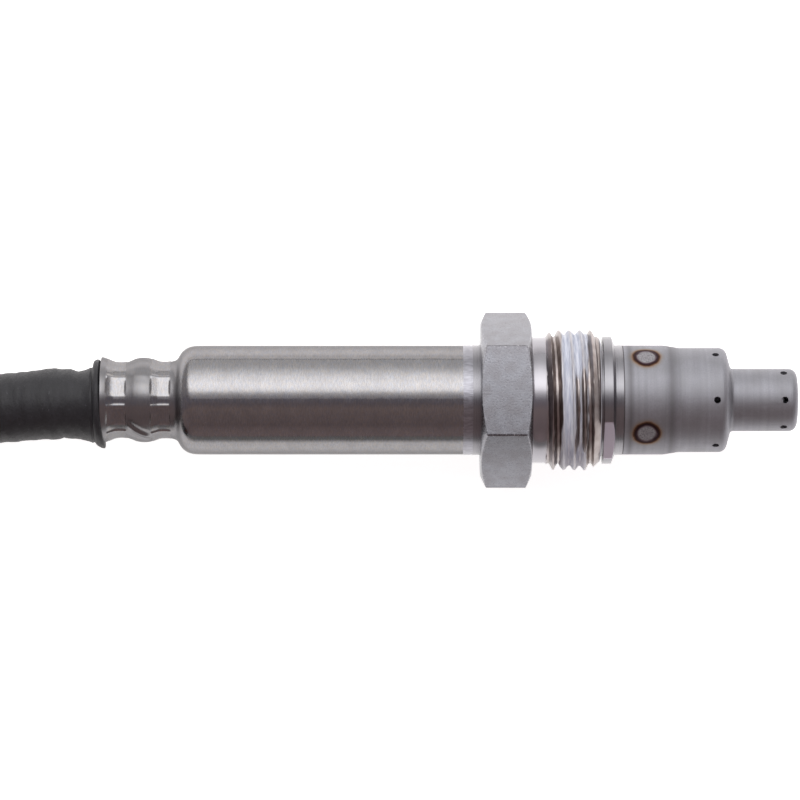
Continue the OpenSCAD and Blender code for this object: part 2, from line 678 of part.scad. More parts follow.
// Rings of a tube that follows a route
function route_direction(route, i) =
    unit(route[min(i + 1, len(route) - 1)] - route[max(i - 1, 0)]);
function route_ring(route, i, r) =
    let (along = route_direction(route, i),
         side = unit(cross([0, 0, 1], along)),
         up = cross(along, side))
    [
        for (k = [0:ring_sides - 1])
            let (angle = 360 * k / ring_sides) route[i] + r * (cos(angle) * side + sin(angle) * up)
    ];
module swept(route, r) {
    last = len(route) - 1;
    points = [for (i = [0:last]) each route_ring(route, i, r)];
    walls = [
        for (i = [0:last - 1]) for (k = [0:ring_sides - 1])
            let (next = (k + 1) % ring_sides, a = i * ring_sides, b = a + ring_sides)
            [a + k, b + k, b + next, a + next]
    ];
    caps = [[for (k = [0:ring_sides - 1]) k], [for (k = [ring_sides - 1:-1:0]) last * ring_sides + k]];
    polyhedron(points = points, faces = concat(walls, caps), convexity = 4);
}
module cable_run() color(sleeve_black) swept(run_route, cable_r);
module cable_tail() color(sleeve_black) swept(tail_route, cable_r);
// Radius of the coil at an angle along it
function coil_radius(angle) = coil_r - coil_pitch * (angle - coil_start_angle) / 360;
// Outline of turns that lie side by side, grown all round
module turns(r_from, r_to, grow = 0) {
    translate([r_from, -grow]) square([r_to - r_from, cable_d + 2 * grow]);
    for (r = [r_from, r_to]) translate([r, cable_r]) circle(r = cable_r + grow);
}
// Outer shape of the coil, which lies flat on the floor
module cable_coil() color(sleeve_black)
    translate([coil_centre[0], coil_centre[1], 0])
        rotate_extrude() union() turns(coil_radius(coil_end_angle), coil_r);
// Ties that hold two turns of the coil together
module coil_ties() color(rubber_black)
    for (angle = tie_angles) translate([coil_centre[0], coil_centre[1], 0]) rotate([0, 0, angle]) {
        outer_r = coil_radius(angle);
        translate([0, tie_width / 2, 0]) rotate([90, 0, 0]) linear_extrude(tie_width) difference() {
            intersection() {
                union() turns(outer_r - coil_pitch, outer_r, tie_thickness);
                square(2 * coil_r);
            }
            intersection() {
                union() turns(outer_r - coil_pitch, outer_r);
                translate([0, tie_thickness]) square(2 * coil_r);
            }
        }
        translate([outer_r - tie_head / 2, -tie_head / 2, cable_d + tie_thickness / 2])
            cube([tie_head, tie_head, tie_head * 0.7]);
    }

// Sealed plug with eight terminals, on top of the coil
module at_plug() translate(plug_place) children();
plug_length = plug_body_length + plug_nose_length;
nose_w = plug_width - 2 * plug_nose_inset;
nose_h = plug_height - 2 * plug_nose_inset;
module block(x, length, w, h, round) translate([x, 0, 0]) rotate([90, 0, 90]) linear_extrude(length) union() {
    square([w - 2 * round, h], center = true);
    square([w, h - 2 * round], center = true);
    for (y = [-1, 1]) for (z = [-1, 1])
        translate([y * (w / 2 - round), z * (h / 2 - round)]) circle(r = round, $fn = 32);
}
module at_terminals() for (row = [-1, 1]) for (i = [0:wires_per_side - 1])
    translate([0, (i - (wires_per_side - 1) / 2) * terminal_pitch, row * terminal_row_gap / 2]) children();
seal_x = plug_body_length + 1;
seal_length = 3;
module plug_housing() {
    cavity = terminal_width + 0.3;
    latch_w = 7;
    guard_x = 3;
    guard_length = 12;
    guard_size = [guard_length, 1.2, 2];
    guard_gap = 0.8;
    latch = [[4, 0], [4, 2.6], [16, 2.6], [18.6, 1.9], [18.6, 1.2], [7, 1.2], [6, 0]];
    color(plug_grey) at_plug() difference() {
        union() {
            block(0, plug_body_length, plug_width, plug_height, 2);
            block(plug_body_length - over, plug_nose_length + over, nose_w, nose_h, 1.5);
            translate([0, latch_w / 2, plug_height / 2 - over]) rotate([90, 0, 0])
                linear_extrude(latch_w) polygon(latch);
            for (side = [-1, 1])
                translate([guard_x, side * (latch_w / 2 + guard_gap + guard_size[1] / 2) - guard_size[1] / 2,
                           plug_height / 2 - over])
                    cube(guard_size);
        }
        at_terminals() translate([3, -cavity / 2, -cavity / 2]) cube([plug_length, cavity, cavity]);
        translate([seal_x, 0, 0]) difference() {
            block(0, seal_length, nose_w + 1, nose_h + 1, 1.5);
            block(-over, seal_length + 2 * over, nose_w - 1.2, nose_h - 1.2, 0.9);
        }
    }
}
module plug_seal() color(seal_orange) at_plug() translate([seal_x + 0.1, 0, 0]) difference() {
    union() {
        block(0, seal_length - 0.2, nose_w + 0.2, nose_h + 0.2, 1.5);
        for (x = [0.3, 1.7]) block(x, 0.8, nose_w + 1, nose_h + 1, 1.9);
    }
    block(-over, seal_length, nose_w - 1.1, nose_h - 1.1, 0.95);
}
module plug_terminals() color(contact_metal) at_plug() at_terminals() difference() {
    translate([3.2, -terminal_width / 2, -terminal_width / 2])
        cube([plug_length - 4, terminal_width, terminal_width]);
    translate([plug_length - 6, -terminal_width / 4, -terminal_width / 4])
        cube([8, terminal_width / 2, terminal_width / 2]);
}
module plug_cap() color(plug_grey) at_plug() {
    throat_d = cable_d + 0.2;
    throat_wall = 1.2;
    throat_floor = 4; // material left between the cable's end and the housing
    face_gap = 0.05;
    difference() {
        union() {
            block(-plug_cap_length / 2, plug_cap_length / 2 - face_gap,
                plug_width - 0.8, plug_height - 0.6, 2);
            rod(-plug_cap_length, plug_cap_length - face_gap, throat_d + 2 * throat_wall);
        }
        rod(-plug_cap_length - over, plug_cap_length - throat_floor + over, throat_d);
    }
}

on_axis() outer_protector();
on_axis() inner_protector();
on_axis() metal_shell();
on_axis() union_nut();
on_axis() weld_bead();
on_axis() rear_tube();
on_axis() sensing_element();
on_axis() front_ceramic();
on_axis() front_talc();
on_axis() middle_ceramic();
on_axis() rear_talc();
on_axis() rear_ceramic();
on_axis() packing_ring();
on_axis() contact_holder();
on_axis() holder_clip();
on_axis() contact_springs();
on_axis() wire_crimps();
on_axis() lead_wires();
on_axis() grommet();
on_axis() sleeve_end();
cable_run();
cable_coil();
cable_tail();
coil_ties();
plug_housing();
plug_seal();
plug_terminals();
plug_cap();
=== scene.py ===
import json
import math

import bpy
import numpy as np
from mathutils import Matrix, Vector, noise


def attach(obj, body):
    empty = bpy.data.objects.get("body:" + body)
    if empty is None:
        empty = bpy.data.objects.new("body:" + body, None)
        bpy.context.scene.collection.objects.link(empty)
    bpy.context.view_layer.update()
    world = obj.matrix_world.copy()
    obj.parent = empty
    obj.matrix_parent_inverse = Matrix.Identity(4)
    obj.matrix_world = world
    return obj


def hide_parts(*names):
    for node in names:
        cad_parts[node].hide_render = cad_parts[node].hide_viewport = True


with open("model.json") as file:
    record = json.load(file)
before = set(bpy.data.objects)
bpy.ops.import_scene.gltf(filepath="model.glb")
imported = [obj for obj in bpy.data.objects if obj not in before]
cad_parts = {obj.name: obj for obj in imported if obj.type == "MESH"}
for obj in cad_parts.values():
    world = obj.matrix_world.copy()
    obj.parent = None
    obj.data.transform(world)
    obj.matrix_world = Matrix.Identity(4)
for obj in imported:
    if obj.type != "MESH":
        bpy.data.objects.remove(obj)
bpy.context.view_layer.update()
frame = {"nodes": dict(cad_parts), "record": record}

MM = 0.001
AXIS_Z = 11
SHARP_ANGLE = math.radians(38)
NODES = frame["nodes"]


def put_mesh(name, points, faces):
    """A smooth-shaded mesh object from points in millimetres, sharp where its faces meet at a clear angle."""
    mesh = bpy.data.meshes.new(name)
    mesh.from_pydata((np.asarray(points, float) * MM).tolist(), [], faces)
    mesh.polygons.foreach_set("use_smooth", [True] * len(mesh.polygons))
    mesh.set_sharp_from_angle(angle=SHARP_ANGLE)
    mesh.update()
    piece = bpy.data.objects.new(name, mesh)
    bpy.context.scene.collection.objects.link(piece)
    return piece


def add_mark(piece, name, values):
    """Stores a number at each point of the piece, which its material reads."""
    piece.data.attributes.new(name, "FLOAT", "POINT").data.foreach_set("value", np.asarray(values, float).ravel())


def loops_of_faces(rows, columns, closed=False):
    """Faces between rows of points that each run round the piece. A closed skin joins its last row to its first."""
    index = np.arange(rows * columns).reshape(rows, columns)
    below = np.roll(index, -1, axis=0) if closed else index[1:]
    here = index if closed else index[:-1]
    faces = np.stack([here, below, np.roll(below, -1, axis=1), np.roll(here, -1, axis=1)], axis=-1)
    return faces.reshape(-1, 4).tolist()


def around_axis(x, radius, angle):
    """Points around the probe's axis, from arrays of X, radius and angle in radians."""
    x, radius, angle = np.broadcast_arrays(x, radius, angle)
    return np.stack([x, -radius * np.sin(angle), AXIS_Z + radius * np.cos(angle)], axis=-1)


def smooth(t):
    """An eased step from 0 to 1."""
    t = np.clip(t, 0, 1)
    return t * t * (3 - 2 * t)


# Radius at which the lumps of uneven values have their size around a piece
LUMP_R = 8


def rough_around(x, angle, along, across, offset=0.0):
    """Uneven values from -1 to 1 on a round piece, with lumps of about the given sizes along and around it. The
    offset picks another part of the pattern."""
    x, angle = np.broadcast_arrays(x, angle)
    values = [noise.noise((a / along + offset, math.cos(b) * LUMP_R / across, math.sin(b) * LUMP_R / across))
              for a, b in zip(x.ravel(), angle.ravel())]
    return np.array(values).reshape(x.shape)


# Camera, with distances in metres. The lens gives the photograph's 7.05 pixels to the millimetre at the axis.
PHOTO_DISTANCE = 0.59
PHOTO_ELEVATION = math.radians(83)
PHOTO_TARGET = Vector((-0.0051, 0, AXIS_Z * MM))
PHOTO_SENSOR_MM = 36
PHOTO_LENS_MM = 187
NEAREST_SEEN = 0.01


def add_camera():
    """The photograph's camera: above the probe, a little towards the front."""
    data = bpy.data.cameras.new("camera")
    data.sensor_width = PHOTO_SENSOR_MM
    data.lens = PHOTO_LENS_MM
    data.clip_start = NEAREST_SEEN
    camera = bpy.data.objects.new("camera", data)
    away = Vector((0, -math.cos(PHOTO_ELEVATION), math.sin(PHOTO_ELEVATION)))
    camera.location = PHOTO_TARGET + PHOTO_DISTANCE * away
    camera.rotation_euler = (-away).to_track_quat("-Z", "Y").to_euler()
    bpy.context.scene.collection.objects.link(camera)
    bpy.context.scene.camera = camera


add_camera()

# Cable. The route repeats the one in the CAD source, in metres. The coil's angles are in degrees.
CABLE_D = 0.0098
CABLE_EXIT = (-0.047425, -0.0004, 0.011)
COIL_R = 0.053
COIL_PITCH = 0.010
COIL_START, COIL_END = 90, 520
COIL_POINTS = 36
COIL_CENTRE = (-0.1215, 0.0075 - COIL_R)
RUN_ROUTE = [
    (-0.0512, -0.0005, 0.011), (-0.0534, -0.0005, 0.011), (-0.0575, -0.0008, 0.01075), (-0.063, -0.0011, 0.0099),
    (-0.069, -0.0008, 0.0088), (-0.076, 0.0005, 0.0075), (-0.084, 0.0023, 0.0063), (-0.093, 0.0045, 0.0054),
    (-0.102, 0.0063, 0.005), (-0.111, 0.0072, 0.0049),
]
TAIL_ROUTE = [
    (-0.1618, -0.0398, 0.0052), (-0.1618, -0.0483, 0.006), (-0.1601, -0.0566, 0.0073), (-0.1572, -0.0645, 0.0088),
    (-0.1528, -0.0718, 0.0104), (-0.1471, -0.0782, 0.0121), (-0.1398, -0.083, 0.0137), (-0.1309, -0.0862, 0.0151),
    (-0.1215, -0.0873, 0.0161), (-0.1175, -0.0873, 0.0164), (-0.1140, -0.0873, 0.0164),
]
# Distance from the neck and radius of the sleeve in millimetres: a rolled lip, a groove, and a cone down to the
# cable
SLEEVE_OUTLINE = np.array([
    (0, 5.0), (0.02, 5.8), (0.08, 6.03), (0.2, 6.13), (0.45, 6.17), (0.68, 6.12), (0.88, 5.98), (1.0, 5.76),
    (1.1, 5.6), (1.22, 5.59), (1.4, 5.66), (1.8, 5.5), (2.3, 5.32), (3.06, 5.12), (3.9, 4.96), (4.7, 4.97),
    (5.6, 4.9), (6.5, 5.03), (7.3, 5.05), (8.2, 4.94), (9.5, 4.93), (12, 4.9), (1000, 4.9),
])
# Also in millimetres: how much slimmer the sleeve is on its back, just behind the lip, and how far the lip hangs
# over the neck's rim and outwards in front
BACK_PULL = 0.6
LIP_OVERHANG, LIP_FLARE = 0.45, 0.4
CABLE_SIDES = 64


def coil_route():
    """The coil lies on the table and winds inwards."""
    points = []
    for angle in np.linspace(COIL_START, COIL_END, COIL_POINTS):
        radius = COIL_R - COIL_PITCH * (angle - COIL_START) / 360
        turn = math.radians(angle)
        points.append((COIL_CENTRE[0] + radius * math.cos(turn), COIL_CENTRE[1] + radius * math.sin(turn),
                       CABLE_D / 2))
    return points


def smooth_line(points, steps=24):
    """Many points on a smooth curve through the given ones."""
    p = np.asarray(points, float)
    p = np.vstack([2 * p[0] - p[1], p, 2 * p[-1] - p[-2]])
    t = np.arange(steps)[:, None] / steps
    parts = []
    for a, b, c, d in zip(p[:-3], p[1:-2], p[2:-1], p[3:]):
        parts.append(0.5 * (2 * b + (c - a) * t + (2 * a - 5 * b + 4 * c - d) * t**2
                            + (3 * b - a - 3 * c + d) * t**3))
    return np.vstack(parts + [p[-2:-1]])


def sleeve_wrinkles(along, turn):
    """Uneven rings that the sleeve got where it was pushed over the grommet, fading along the cable."""
    strength = smooth((along - 1.3) / 2) * (0.3 + 0.7 * np.exp(-np.clip(along - 9, 0, None) / 8))
    lip = 1 - smooth((along - 0.5) / 0.9)
    strength, lip, along = strength[:, None], lip[:, None], along[:, None]
    rings = 0.13 * rough_around(along, 0 * turn[:1], 1.15, 60) + 0.1 * rough_around(along, turn, 1.3, 9, 9)
    return strength * (rings + 0.035 * rough_around(along, turn, 0.35, 3, 30)) + lip * (
        0.07 * rough_around(along, turn, 2.0, 4, 50) + 0.04 * rough_around(along, turn, 0.5, 1.6, 70))


def make_cable():
    """Cable in its extruded sleeve, from the rolled lip on the neck to the plug, as one mesh tube."""
    line = smooth_line([CABLE_EXIT] + RUN_ROUTE + coil_route() + TAIL_ROUTE)
    walked = np.concatenate([[0], np.cumsum(np.linalg.norm(np.diff(line, axis=0), axis=1))])
    total = walked[-1]
    # Finest on the lip, fine on the wrinkles that the photograph shows, and coarse along the rest
    stops = np.concatenate([
        [0, 0.00002, 0.00008], np.arange(0.0002, 0.0022, 0.0001), np.arange(0.0022, 0.020, 0.0002),
        np.arange(0.020, total - 0.001, 0.0016), [total],
    ])
    path = np.stack([np.interp(stops, walked, line[:, i]) for i in range(3)], axis=-1)
    ahead = np.gradient(path, axis=0)
    # The steps at the lip's edge are too short to give a direction.
    ahead[0] = ahead[1] = ahead[2] = ahead[4]
    ahead /= np.linalg.norm(ahead, axis=1)[:, None]
    side = np.cross([0, 0, 1], ahead)
    side /= np.linalg.norm(side, axis=1)[:, None]
    up = np.cross(ahead, side)
    turn = np.arange(CABLE_SIDES) * 2 * math.pi / CABLE_SIDES
    along = stops / MM
    ring = np.cos(turn)[None, :, None] * side[:, None] + np.sin(turn)[None, :, None] * up[:, None]
    radius = np.interp(along, *SLEEVE_OUTLINE.T)[:, None] + sleeve_wrinkles(along, turn)
    tight = smooth((along - 0.9) / 0.25) * (1 - smooth((along - 2.2) / 3))
    radius = radius - BACK_PULL * tight[:, None] * np.clip(ring[..., 1], 0, 1)
    points = path[:, None] / MM + radius[..., None] * ring
    hang = (1 - smooth((along - 0.1) / 0.9)) * (along > 0.01)
    front = np.clip(-ring[..., 1], 0, 1) ** 3 * hang[:, None]
    points[..., 0] += LIP_OVERHANG * front
    points[..., 1] -= LIP_FLARE * front
    # No part of the sleeve goes below the table.
    points[..., 2] = np.clip(points[..., 2], 0, None)
    faces = loops_of_faces(len(stops), CABLE_SIDES)
    last = (len(stops) - 1) * CABLE_SIDES
    faces += [list(range(CABLE_SIDES)), [last + k for k in reversed(range(CABLE_SIDES))]]
    cable = put_mesh("cable", points.reshape(-1, 3), [f[::-1] for f in faces])
    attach(cable, "probe")
    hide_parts("sleeve_end", "cable_run", "cable_coil", "cable_tail")
    return cable


cable = make_cable()

# Rear tube. Outline of its neck and shoulder: X and radius, narrow where the jaws crimped it onto the grommet.
TUBE_OUTLINE = np.array([
    (-47.425, 6.14), (-47.08, 6.06), (-46.52, 5.86), (-45.95, 5.575), (-45.38, 5.37), (-44.81, 5.32),
    (-44.25, 5.34), (-43.68, 5.41), (-43.11, 5.595), (-42.55, 5.825), (-41.98, 5.95), (-41.41, 6.015),
    (-40.84, 5.995), (-40.28, 5.865), (-39.71, 5.65), (-39.14, 5.435), (-38.57, 5.395), (-38.01, 5.405),
    (-37.44, 5.49), (-36.95, 5.62), (-36.62, 5.85), (-36.42, 6.2), (-36.2, 6.6), (-35.95, 6.93), (-35.7, 7.15),
    (-35.4, 7.36), (-35.1, 7.51), (-34.75, 7.62), (-34.3, 7.7), (-33.7, 7.74), (-33, 7.75), (-32, 7.75),
])
OUTLINE_STEP, OUTLINE_EASE = 0.03, 0.13
TUBE_FRONT_X = 4.475
TUBE_WALL = 0.5
TUBE_SIDES = 240
RIM_ROUND = 0.13
# Where the grinding begins, on the shoulder
GROUND_X = -36.2
# Both crimps were pressed by the same eight jaws. The first angle is that of a flat's middle, and the second that
# of a ridge between two jaws, which didn't close quite evenly.
JAWS = 8
JAW_ANGLE = math.radians(32.5)
RIDGE_ANGLE = math.radians(16)
HALF_FLAT = math.radians(13)
JAW_PRINTS = [(-46.35, -43.95), (-40.1, -37.7)]
PRINT_EASE = 0.3
RIDGE_HEIGHT, RIDGE_WIDTH = 0.12, 0.25
# The bulge between the crimps: where it begins and ends, and its middle. Then the strengths of its puckers in turn
# round the tube, their height, width and slant, and the depth, distance and width of the hollows beside them.
BULGE_START_X, BULGE_END_X, BULGE_MIDDLE_X = -43.8, -40.0, -41.6
PUCKERS = [0.1, 1.3, 0.7, 1.1, 0.5, 1.2, 0.8, 0.3]
PUCKER_HEIGHT, PUCKER_WIDTH, PUCKER_SLANT = 0.1, 0.36, 0.45
HOLLOW_DEPTH, HOLLOW_OFFSET, HOLLOW_WIDTH = 0.07, 0.85, 0.45


def tube_outline():
    """The outline at small steps, with its corners eased."""
    x = np.arange(TUBE_OUTLINE[0, 0] - 1, TUBE_OUTLINE[-1, 0] + 1, OUTLINE_STEP)
    radius = np.interp(x, *TUBE_OUTLINE.T)
    reach = 12
    weights = np.exp(-(np.arange(-reach, reach + 1) * OUTLINE_STEP / OUTLINE_EASE) ** 2 / 2)
    return x, np.convolve(np.pad(radius, reach, mode="edge"), weights / weights.sum(), mode="valid")


def jaw_prints(x):
    """How much of a jaw's print there is at a place along the neck, from 0 to 1."""
    return sum(smooth((x - start) / PRINT_EASE + 1) * smooth((end - x) / PRINT_EASE + 1)
               for start, end in JAW_PRINTS)


def neck_radius(x, angle):
    """Radius of the tube. Each jaw pressed a flat, a sharp ridge stands between two jaws, and the sheet that had
    no room puckered up on the bulge in line with the ridges."""
    outline = np.interp(x, *tube_outline())
    pressed = jaw_prints(x)
    step = 2 * math.pi / JAWS
    place = (angle - JAW_ANGLE) / step % 1
    off_flat = np.clip(np.where(place > 0.5, place - 1, place) * step, -HALF_FLAT, HALF_FLAT)
    flat = outline * (math.cos(HALF_FLAT) / np.cos(off_flat) - 1)
    from_ridge = ((angle - RIDGE_ANGLE) / step + 0.5) % 1 - 0.5
    seam = from_ridge * step * outline
    radius = outline + pressed * (flat + RIDGE_HEIGHT * np.exp(-(seam / RIDGE_WIDTH) ** 2))
    bulge = smooth((x - BULGE_START_X) / 1.3) * smooth((BULGE_END_X - x) / 1.1)
    number = np.round((angle - RIDGE_ANGLE) / step).astype(int) % JAWS
    strength = np.array(PUCKERS)[number]
    bend = seam - PUCKER_SLANT * strength * (x - BULGE_MIDDLE_X)
    pucker = PUCKER_HEIGHT * np.exp(-(bend / PUCKER_WIDTH) ** 2)
    hollow = HOLLOW_DEPTH * np.exp(-((np.abs(bend) - HOLLOW_OFFSET) / HOLLOW_WIDTH) ** 2)
    return radius + bulge * strength * (pucker - hollow)


def make_tube():
    """Drawn rear tube with its crimped neck, open at both ends, with the thickness of its sheet. Its inside has a
    quarter of the rows."""
    angle = np.arange(TUBE_SIDES) * 2 * math.pi / TUBE_SIDES
    mouth_x = TUBE_OUTLINE[0, 0]
    x = np.concatenate([np.arange(mouth_x + RIM_ROUND, -33.5, 0.08), [-33, -31, -22, -10, 0, 4, TUBE_FRONT_X]])
    outside = neck_radius(x[:, None], angle[None])
    rim = neck_radius(np.full((1, 1), mouth_x + RIM_ROUND), angle[None])
    lean = np.radians([90, 65, 40, 20])[:, None]
    rim_x = mouth_x + RIM_ROUND * (1 - np.sin(lean))
    inside = x[::-4][:, None]
    rows_x = np.concatenate([rim_x, x[:, None], inside, [[mouth_x]]])
    rows_r = np.concatenate([rim - RIM_ROUND * (1 - np.cos(lean)), outside, outside[::-4] - TUBE_WALL,
                             rim - TUBE_WALL])
    points = around_axis(rows_x, rows_r, angle[None])
    tube = put_mesh("tube", points.reshape(-1, 3), loops_of_faces(len(rows_r), len(angle), closed=True))
    burnished = jaw_prints(rows_x) + smooth((rows_x - GROUND_X) / 0.8)
    add_mark(tube, "dull", np.broadcast_to(1 - np.clip(burnished, 0, 1), rows_r.shape))
    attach(tube, "probe")
    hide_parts("rear_tube")
    return tube


tube = make_tube()

# Union nut: a 22 mm hexagon with a turned land on its end faces, a relief, and an M20 x 1.5 thread
FLAT_R = 11
HALF_SIDE = math.radians(30)
CORNER_ROUND = 0.25
SIDE_CROWN = 0.13
CHAMFER_SLOPE = math.tan(math.radians(25))
CHAMFER_EDGE = 0.08
LAND_R = 10.85
NUT_BORE_R = 7.88
HEX_X, RELIEF_X, THREAD_X, THREAD_END_X, NUT_FRONT_X = 6.275, 13.475, 15.575, 21.875, 23.225
RELIEF_R = 8.95
CREST_R, ROOT_R, THREAD_PITCH = 9.93, 9.02, 1.5
THREAD_PHASE_X = 16.2
LEAD_R = 8.65
# Shares of a pitch: the flat of the root, and where the flank reaches the crest
ROOT_SHARE, FLANK_END = 0.22, 0.86
THREAD_ROW = 0.0625
# Anti-seize paste along the thread: where it fills the turns, where it has run thin in front, and the middles of
# the two stripes that it left bare there
PASTE_X = (17.3, 19.35)
THIN_PASTE_X = (19.0, 21.1)
BARE_STRIPES_X = (19.78, 20.68)
# It fills a groove this high above its root, and follows the bare thread by this share. Where there is none, its
# surface lies this deep under the root.
PASTE_FILL, PASTE_FOLLOW = 0.33, 0.66
PASTE_DEPTH = 0.25


def nut_angles():
    """Angles of the nut's columns, close together at the hexagon's corners."""
    half = [0, 0.35, 0.7, 1.05, 1.5, 2.4, 4, 5.8, 7.8, 9.8, 11.8, 13.8, 15.8, 17.8, 19.8, 21.8, 23.8, 25.9, 28]
    face = half + [30] + [60 - a for a in reversed(half[1:])]
    return np.radians([30 + 60 * k + a for k in range(6) for a in face])


def from_corner(angle):
    """Angle from the hexagon's nearest corner."""
    return np.radians(np.abs((np.degrees(angle) % 60) - 30))


def hex_radius(angle):
    """Distance of the hexagon's side from the axis, with rounded corners and slightly crowned sides."""
    off = from_corner(angle)
    straight = FLAT_R / np.cos(HALF_SIDE - off)
    centre = (FLAT_R - CORNER_ROUND) / math.cos(HALF_SIDE)
    tangent = math.atan2(0.5 * CORNER_ROUND, centre + 0.866 * CORNER_ROUND)
    inside = np.clip(CORNER_ROUND**2 - (centre * np.sin(off))**2, 0, None)
    sagged = SIDE_CROWN * (np.tan(HALF_SIDE - off) / math.tan(HALF_SIDE)) ** 2
    return np.where(off < tangent, centre * np.cos(off) + np.sqrt(inside), straight) - sagged


def thread_radius(x, angle):
    """Radius of the bare thread: a right-hand 60 degree helix with a short lead at its front end."""
    turn = ((x - THREAD_PHASE_X) / THREAD_PITCH - angle / (2 * math.pi)) % 1
    height = np.clip((np.abs(turn - 0.5) * 2 - ROOT_SHARE) / (FLANK_END - ROOT_SHARE), 0, 1)
    radius = ROOT_R + (CREST_R - ROOT_R) * height
    start = RELIEF_R + (CREST_R - RELIEF_R + 0.3) * np.clip((x - THREAD_X + 0.15) / 1.15, 0, 2)
    lead = LEAD_R + (CREST_R - LEAD_R) * np.clip((NUT_FRONT_X - x) / (NUT_FRONT_X - THREAD_END_X), 0, 1)
    return np.minimum(np.minimum(radius, start), lead)


def paste_radius(x, angle):
    """Surface of the anti-seize paste. It fills the middle turns, and has run thin in front on the next two."""
    edge = 0.4 * rough_around(0 * x, angle, 1, 6, 3) + 0.15 * rough_around(x, angle, 0.5, 1.5, 8)
    full = smooth((x - PASTE_X[0] + edge) / 0.3) * (1 - smooth((x - PASTE_X[1] + edge) / 0.3))
    wide = smooth((x - THIN_PASTE_X[0]) / 0.2) * (1 - smooth((x - THIN_PASTE_X[1] + edge) / 0.4))
    # It is thin from 22 degrees behind the top to 44 degrees in front of it, and has left two bare stripes there.
    degrees = (np.degrees(angle) + 180) % 360 - 180
    thin = smooth((degrees + 22) / 16) * (1 - smooth((degrees - 44) / 14))
    bare = (np.exp(-((x - BARE_STRIPES_X[0] + 0.5 * edge) / 0.26) ** 4)
            + np.exp(-((x - BARE_STRIPES_X[1] + 0.5 * edge) / 0.2) ** 4))
    amount = np.maximum(full, wide * (1 - thin * np.clip(0.2 + bare, 0, 1)))
    streaks = 0.1 * rough_around(x, angle, 0.3, 12, 20) + 0.1 * rough_around(x, angle, 0.6, 7, 40)
    filled = PASTE_FILL + PASTE_FOLLOW * (thread_radius(x, angle) - ROOT_R) + streaks
    return ROOT_R - PASTE_DEPTH + (PASTE_DEPTH + filled) * amount


def profile_rows(rows, angle):
    """Rows of (X, radius) at all the given angles."""
    return np.stack([np.stack(np.broadcast_arrays(x, r, angle)[:2], axis=-1) for x, r in rows])


def make_nut():
    """Hex nut with relief and thread, cold formed and turned in one piece, with paste on its thread. Its rows run
    from the bore's rear edge along the outside to the bore's front edge."""
    angle = nut_angles()
    side_r = hex_radius(angle)
    cone = (side_r - LAND_R) * CHAMFER_SLOPE
    edge = CHAMFER_EDGE
    middle = (HEX_X + RELIEF_X) / 2
    start = profile_rows([
        (HEX_X + 0.25, NUT_BORE_R), (HEX_X, NUT_BORE_R + 0.25), (HEX_X, LAND_R - 0.08), (HEX_X + 0.02, LAND_R + 0.03),
        (HEX_X + cone - edge * CHAMFER_SLOPE, side_r - edge), (HEX_X + cone + edge * 0.6, side_r),
        (HEX_X + cone + 0.3, side_r), (HEX_X + 2, side_r), (middle + 0 * side_r, side_r), (RELIEF_X - 2, side_r),
        (RELIEF_X - cone - 0.3, side_r), (RELIEF_X - cone - edge * 0.6, side_r),
        (RELIEF_X - cone + edge * CHAMFER_SLOPE, side_r - edge), (RELIEF_X - 0.02, LAND_R + 0.03),
        (RELIEF_X, LAND_R - 0.08), (RELIEF_X, RELIEF_R + 0.35), (RELIEF_X + 0.1, RELIEF_R + 0.1),
        (RELIEF_X + 0.35, RELIEF_R), (THREAD_X - 0.2, RELIEF_R),
    ], angle)
    # Row numbers of the two chamfers' outer edges, which wear shows on
    edges = [4, 5, 11, 12]
    x = np.arange(THREAD_X - 0.1, NUT_FRONT_X - 0.02, THREAD_ROW)[:, None]
    x, turned = np.broadcast_arrays(x, angle[None])
    bare = thread_radius(x, turned)
    paste = paste_radius(x, turned)
    thread = np.stack([x, np.maximum(bare, paste)], axis=-1)
    end = profile_rows([(NUT_FRONT_X, LEAD_R - 0.15), (NUT_FRONT_X, NUT_BORE_R + 0.2),
                        (NUT_FRONT_X - 0.2, NUT_BORE_R)], angle)
    profile = np.concatenate([start, thread, end])
    points = around_axis(profile[..., 0], profile[..., 1], angle[None])
    nut = put_mesh("hex_nut", points.reshape(-1, 3), loops_of_faces(len(profile), len(angle), closed=True))
    cover = np.zeros(profile.shape[:2])
    cover[len(start):len(start) + len(x)] = np.clip(0.5 + (paste - bare) / 0.2, 0, 1)
    add_mark(nut, "paste", cover)
    x = profile[..., 0]
    add_mark(nut, "turned", (x > RELIEF_X - 0.01) * (profile[..., 1] < LAND_R))
    off = np.degrees(from_corner(angle))[None]
    add_mark(nut, "corner", np.exp(-(off / 0.75) ** 2) * (x > HEX_X + 0.6) * (x < RELIEF_X - 0.6))
    worn = np.zeros(profile.shape[:2])
    worn[edges] = 1
    add_mark(nut, "worn", worn)
    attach(nut, "nut")
    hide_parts("union_nut")
    return nut


nut = make_nut()


# Materials
def linear(colour):
    """Linear colour of an sRGB hex value."""
    channels = [int(colour[i:i + 2], 16) / 255 for i in (1, 3, 5)]
    return (*[c / 12.92 if c <= 0.04045 else ((c + 0.055) / 1.055) ** 2.4 for c in channels], 1)


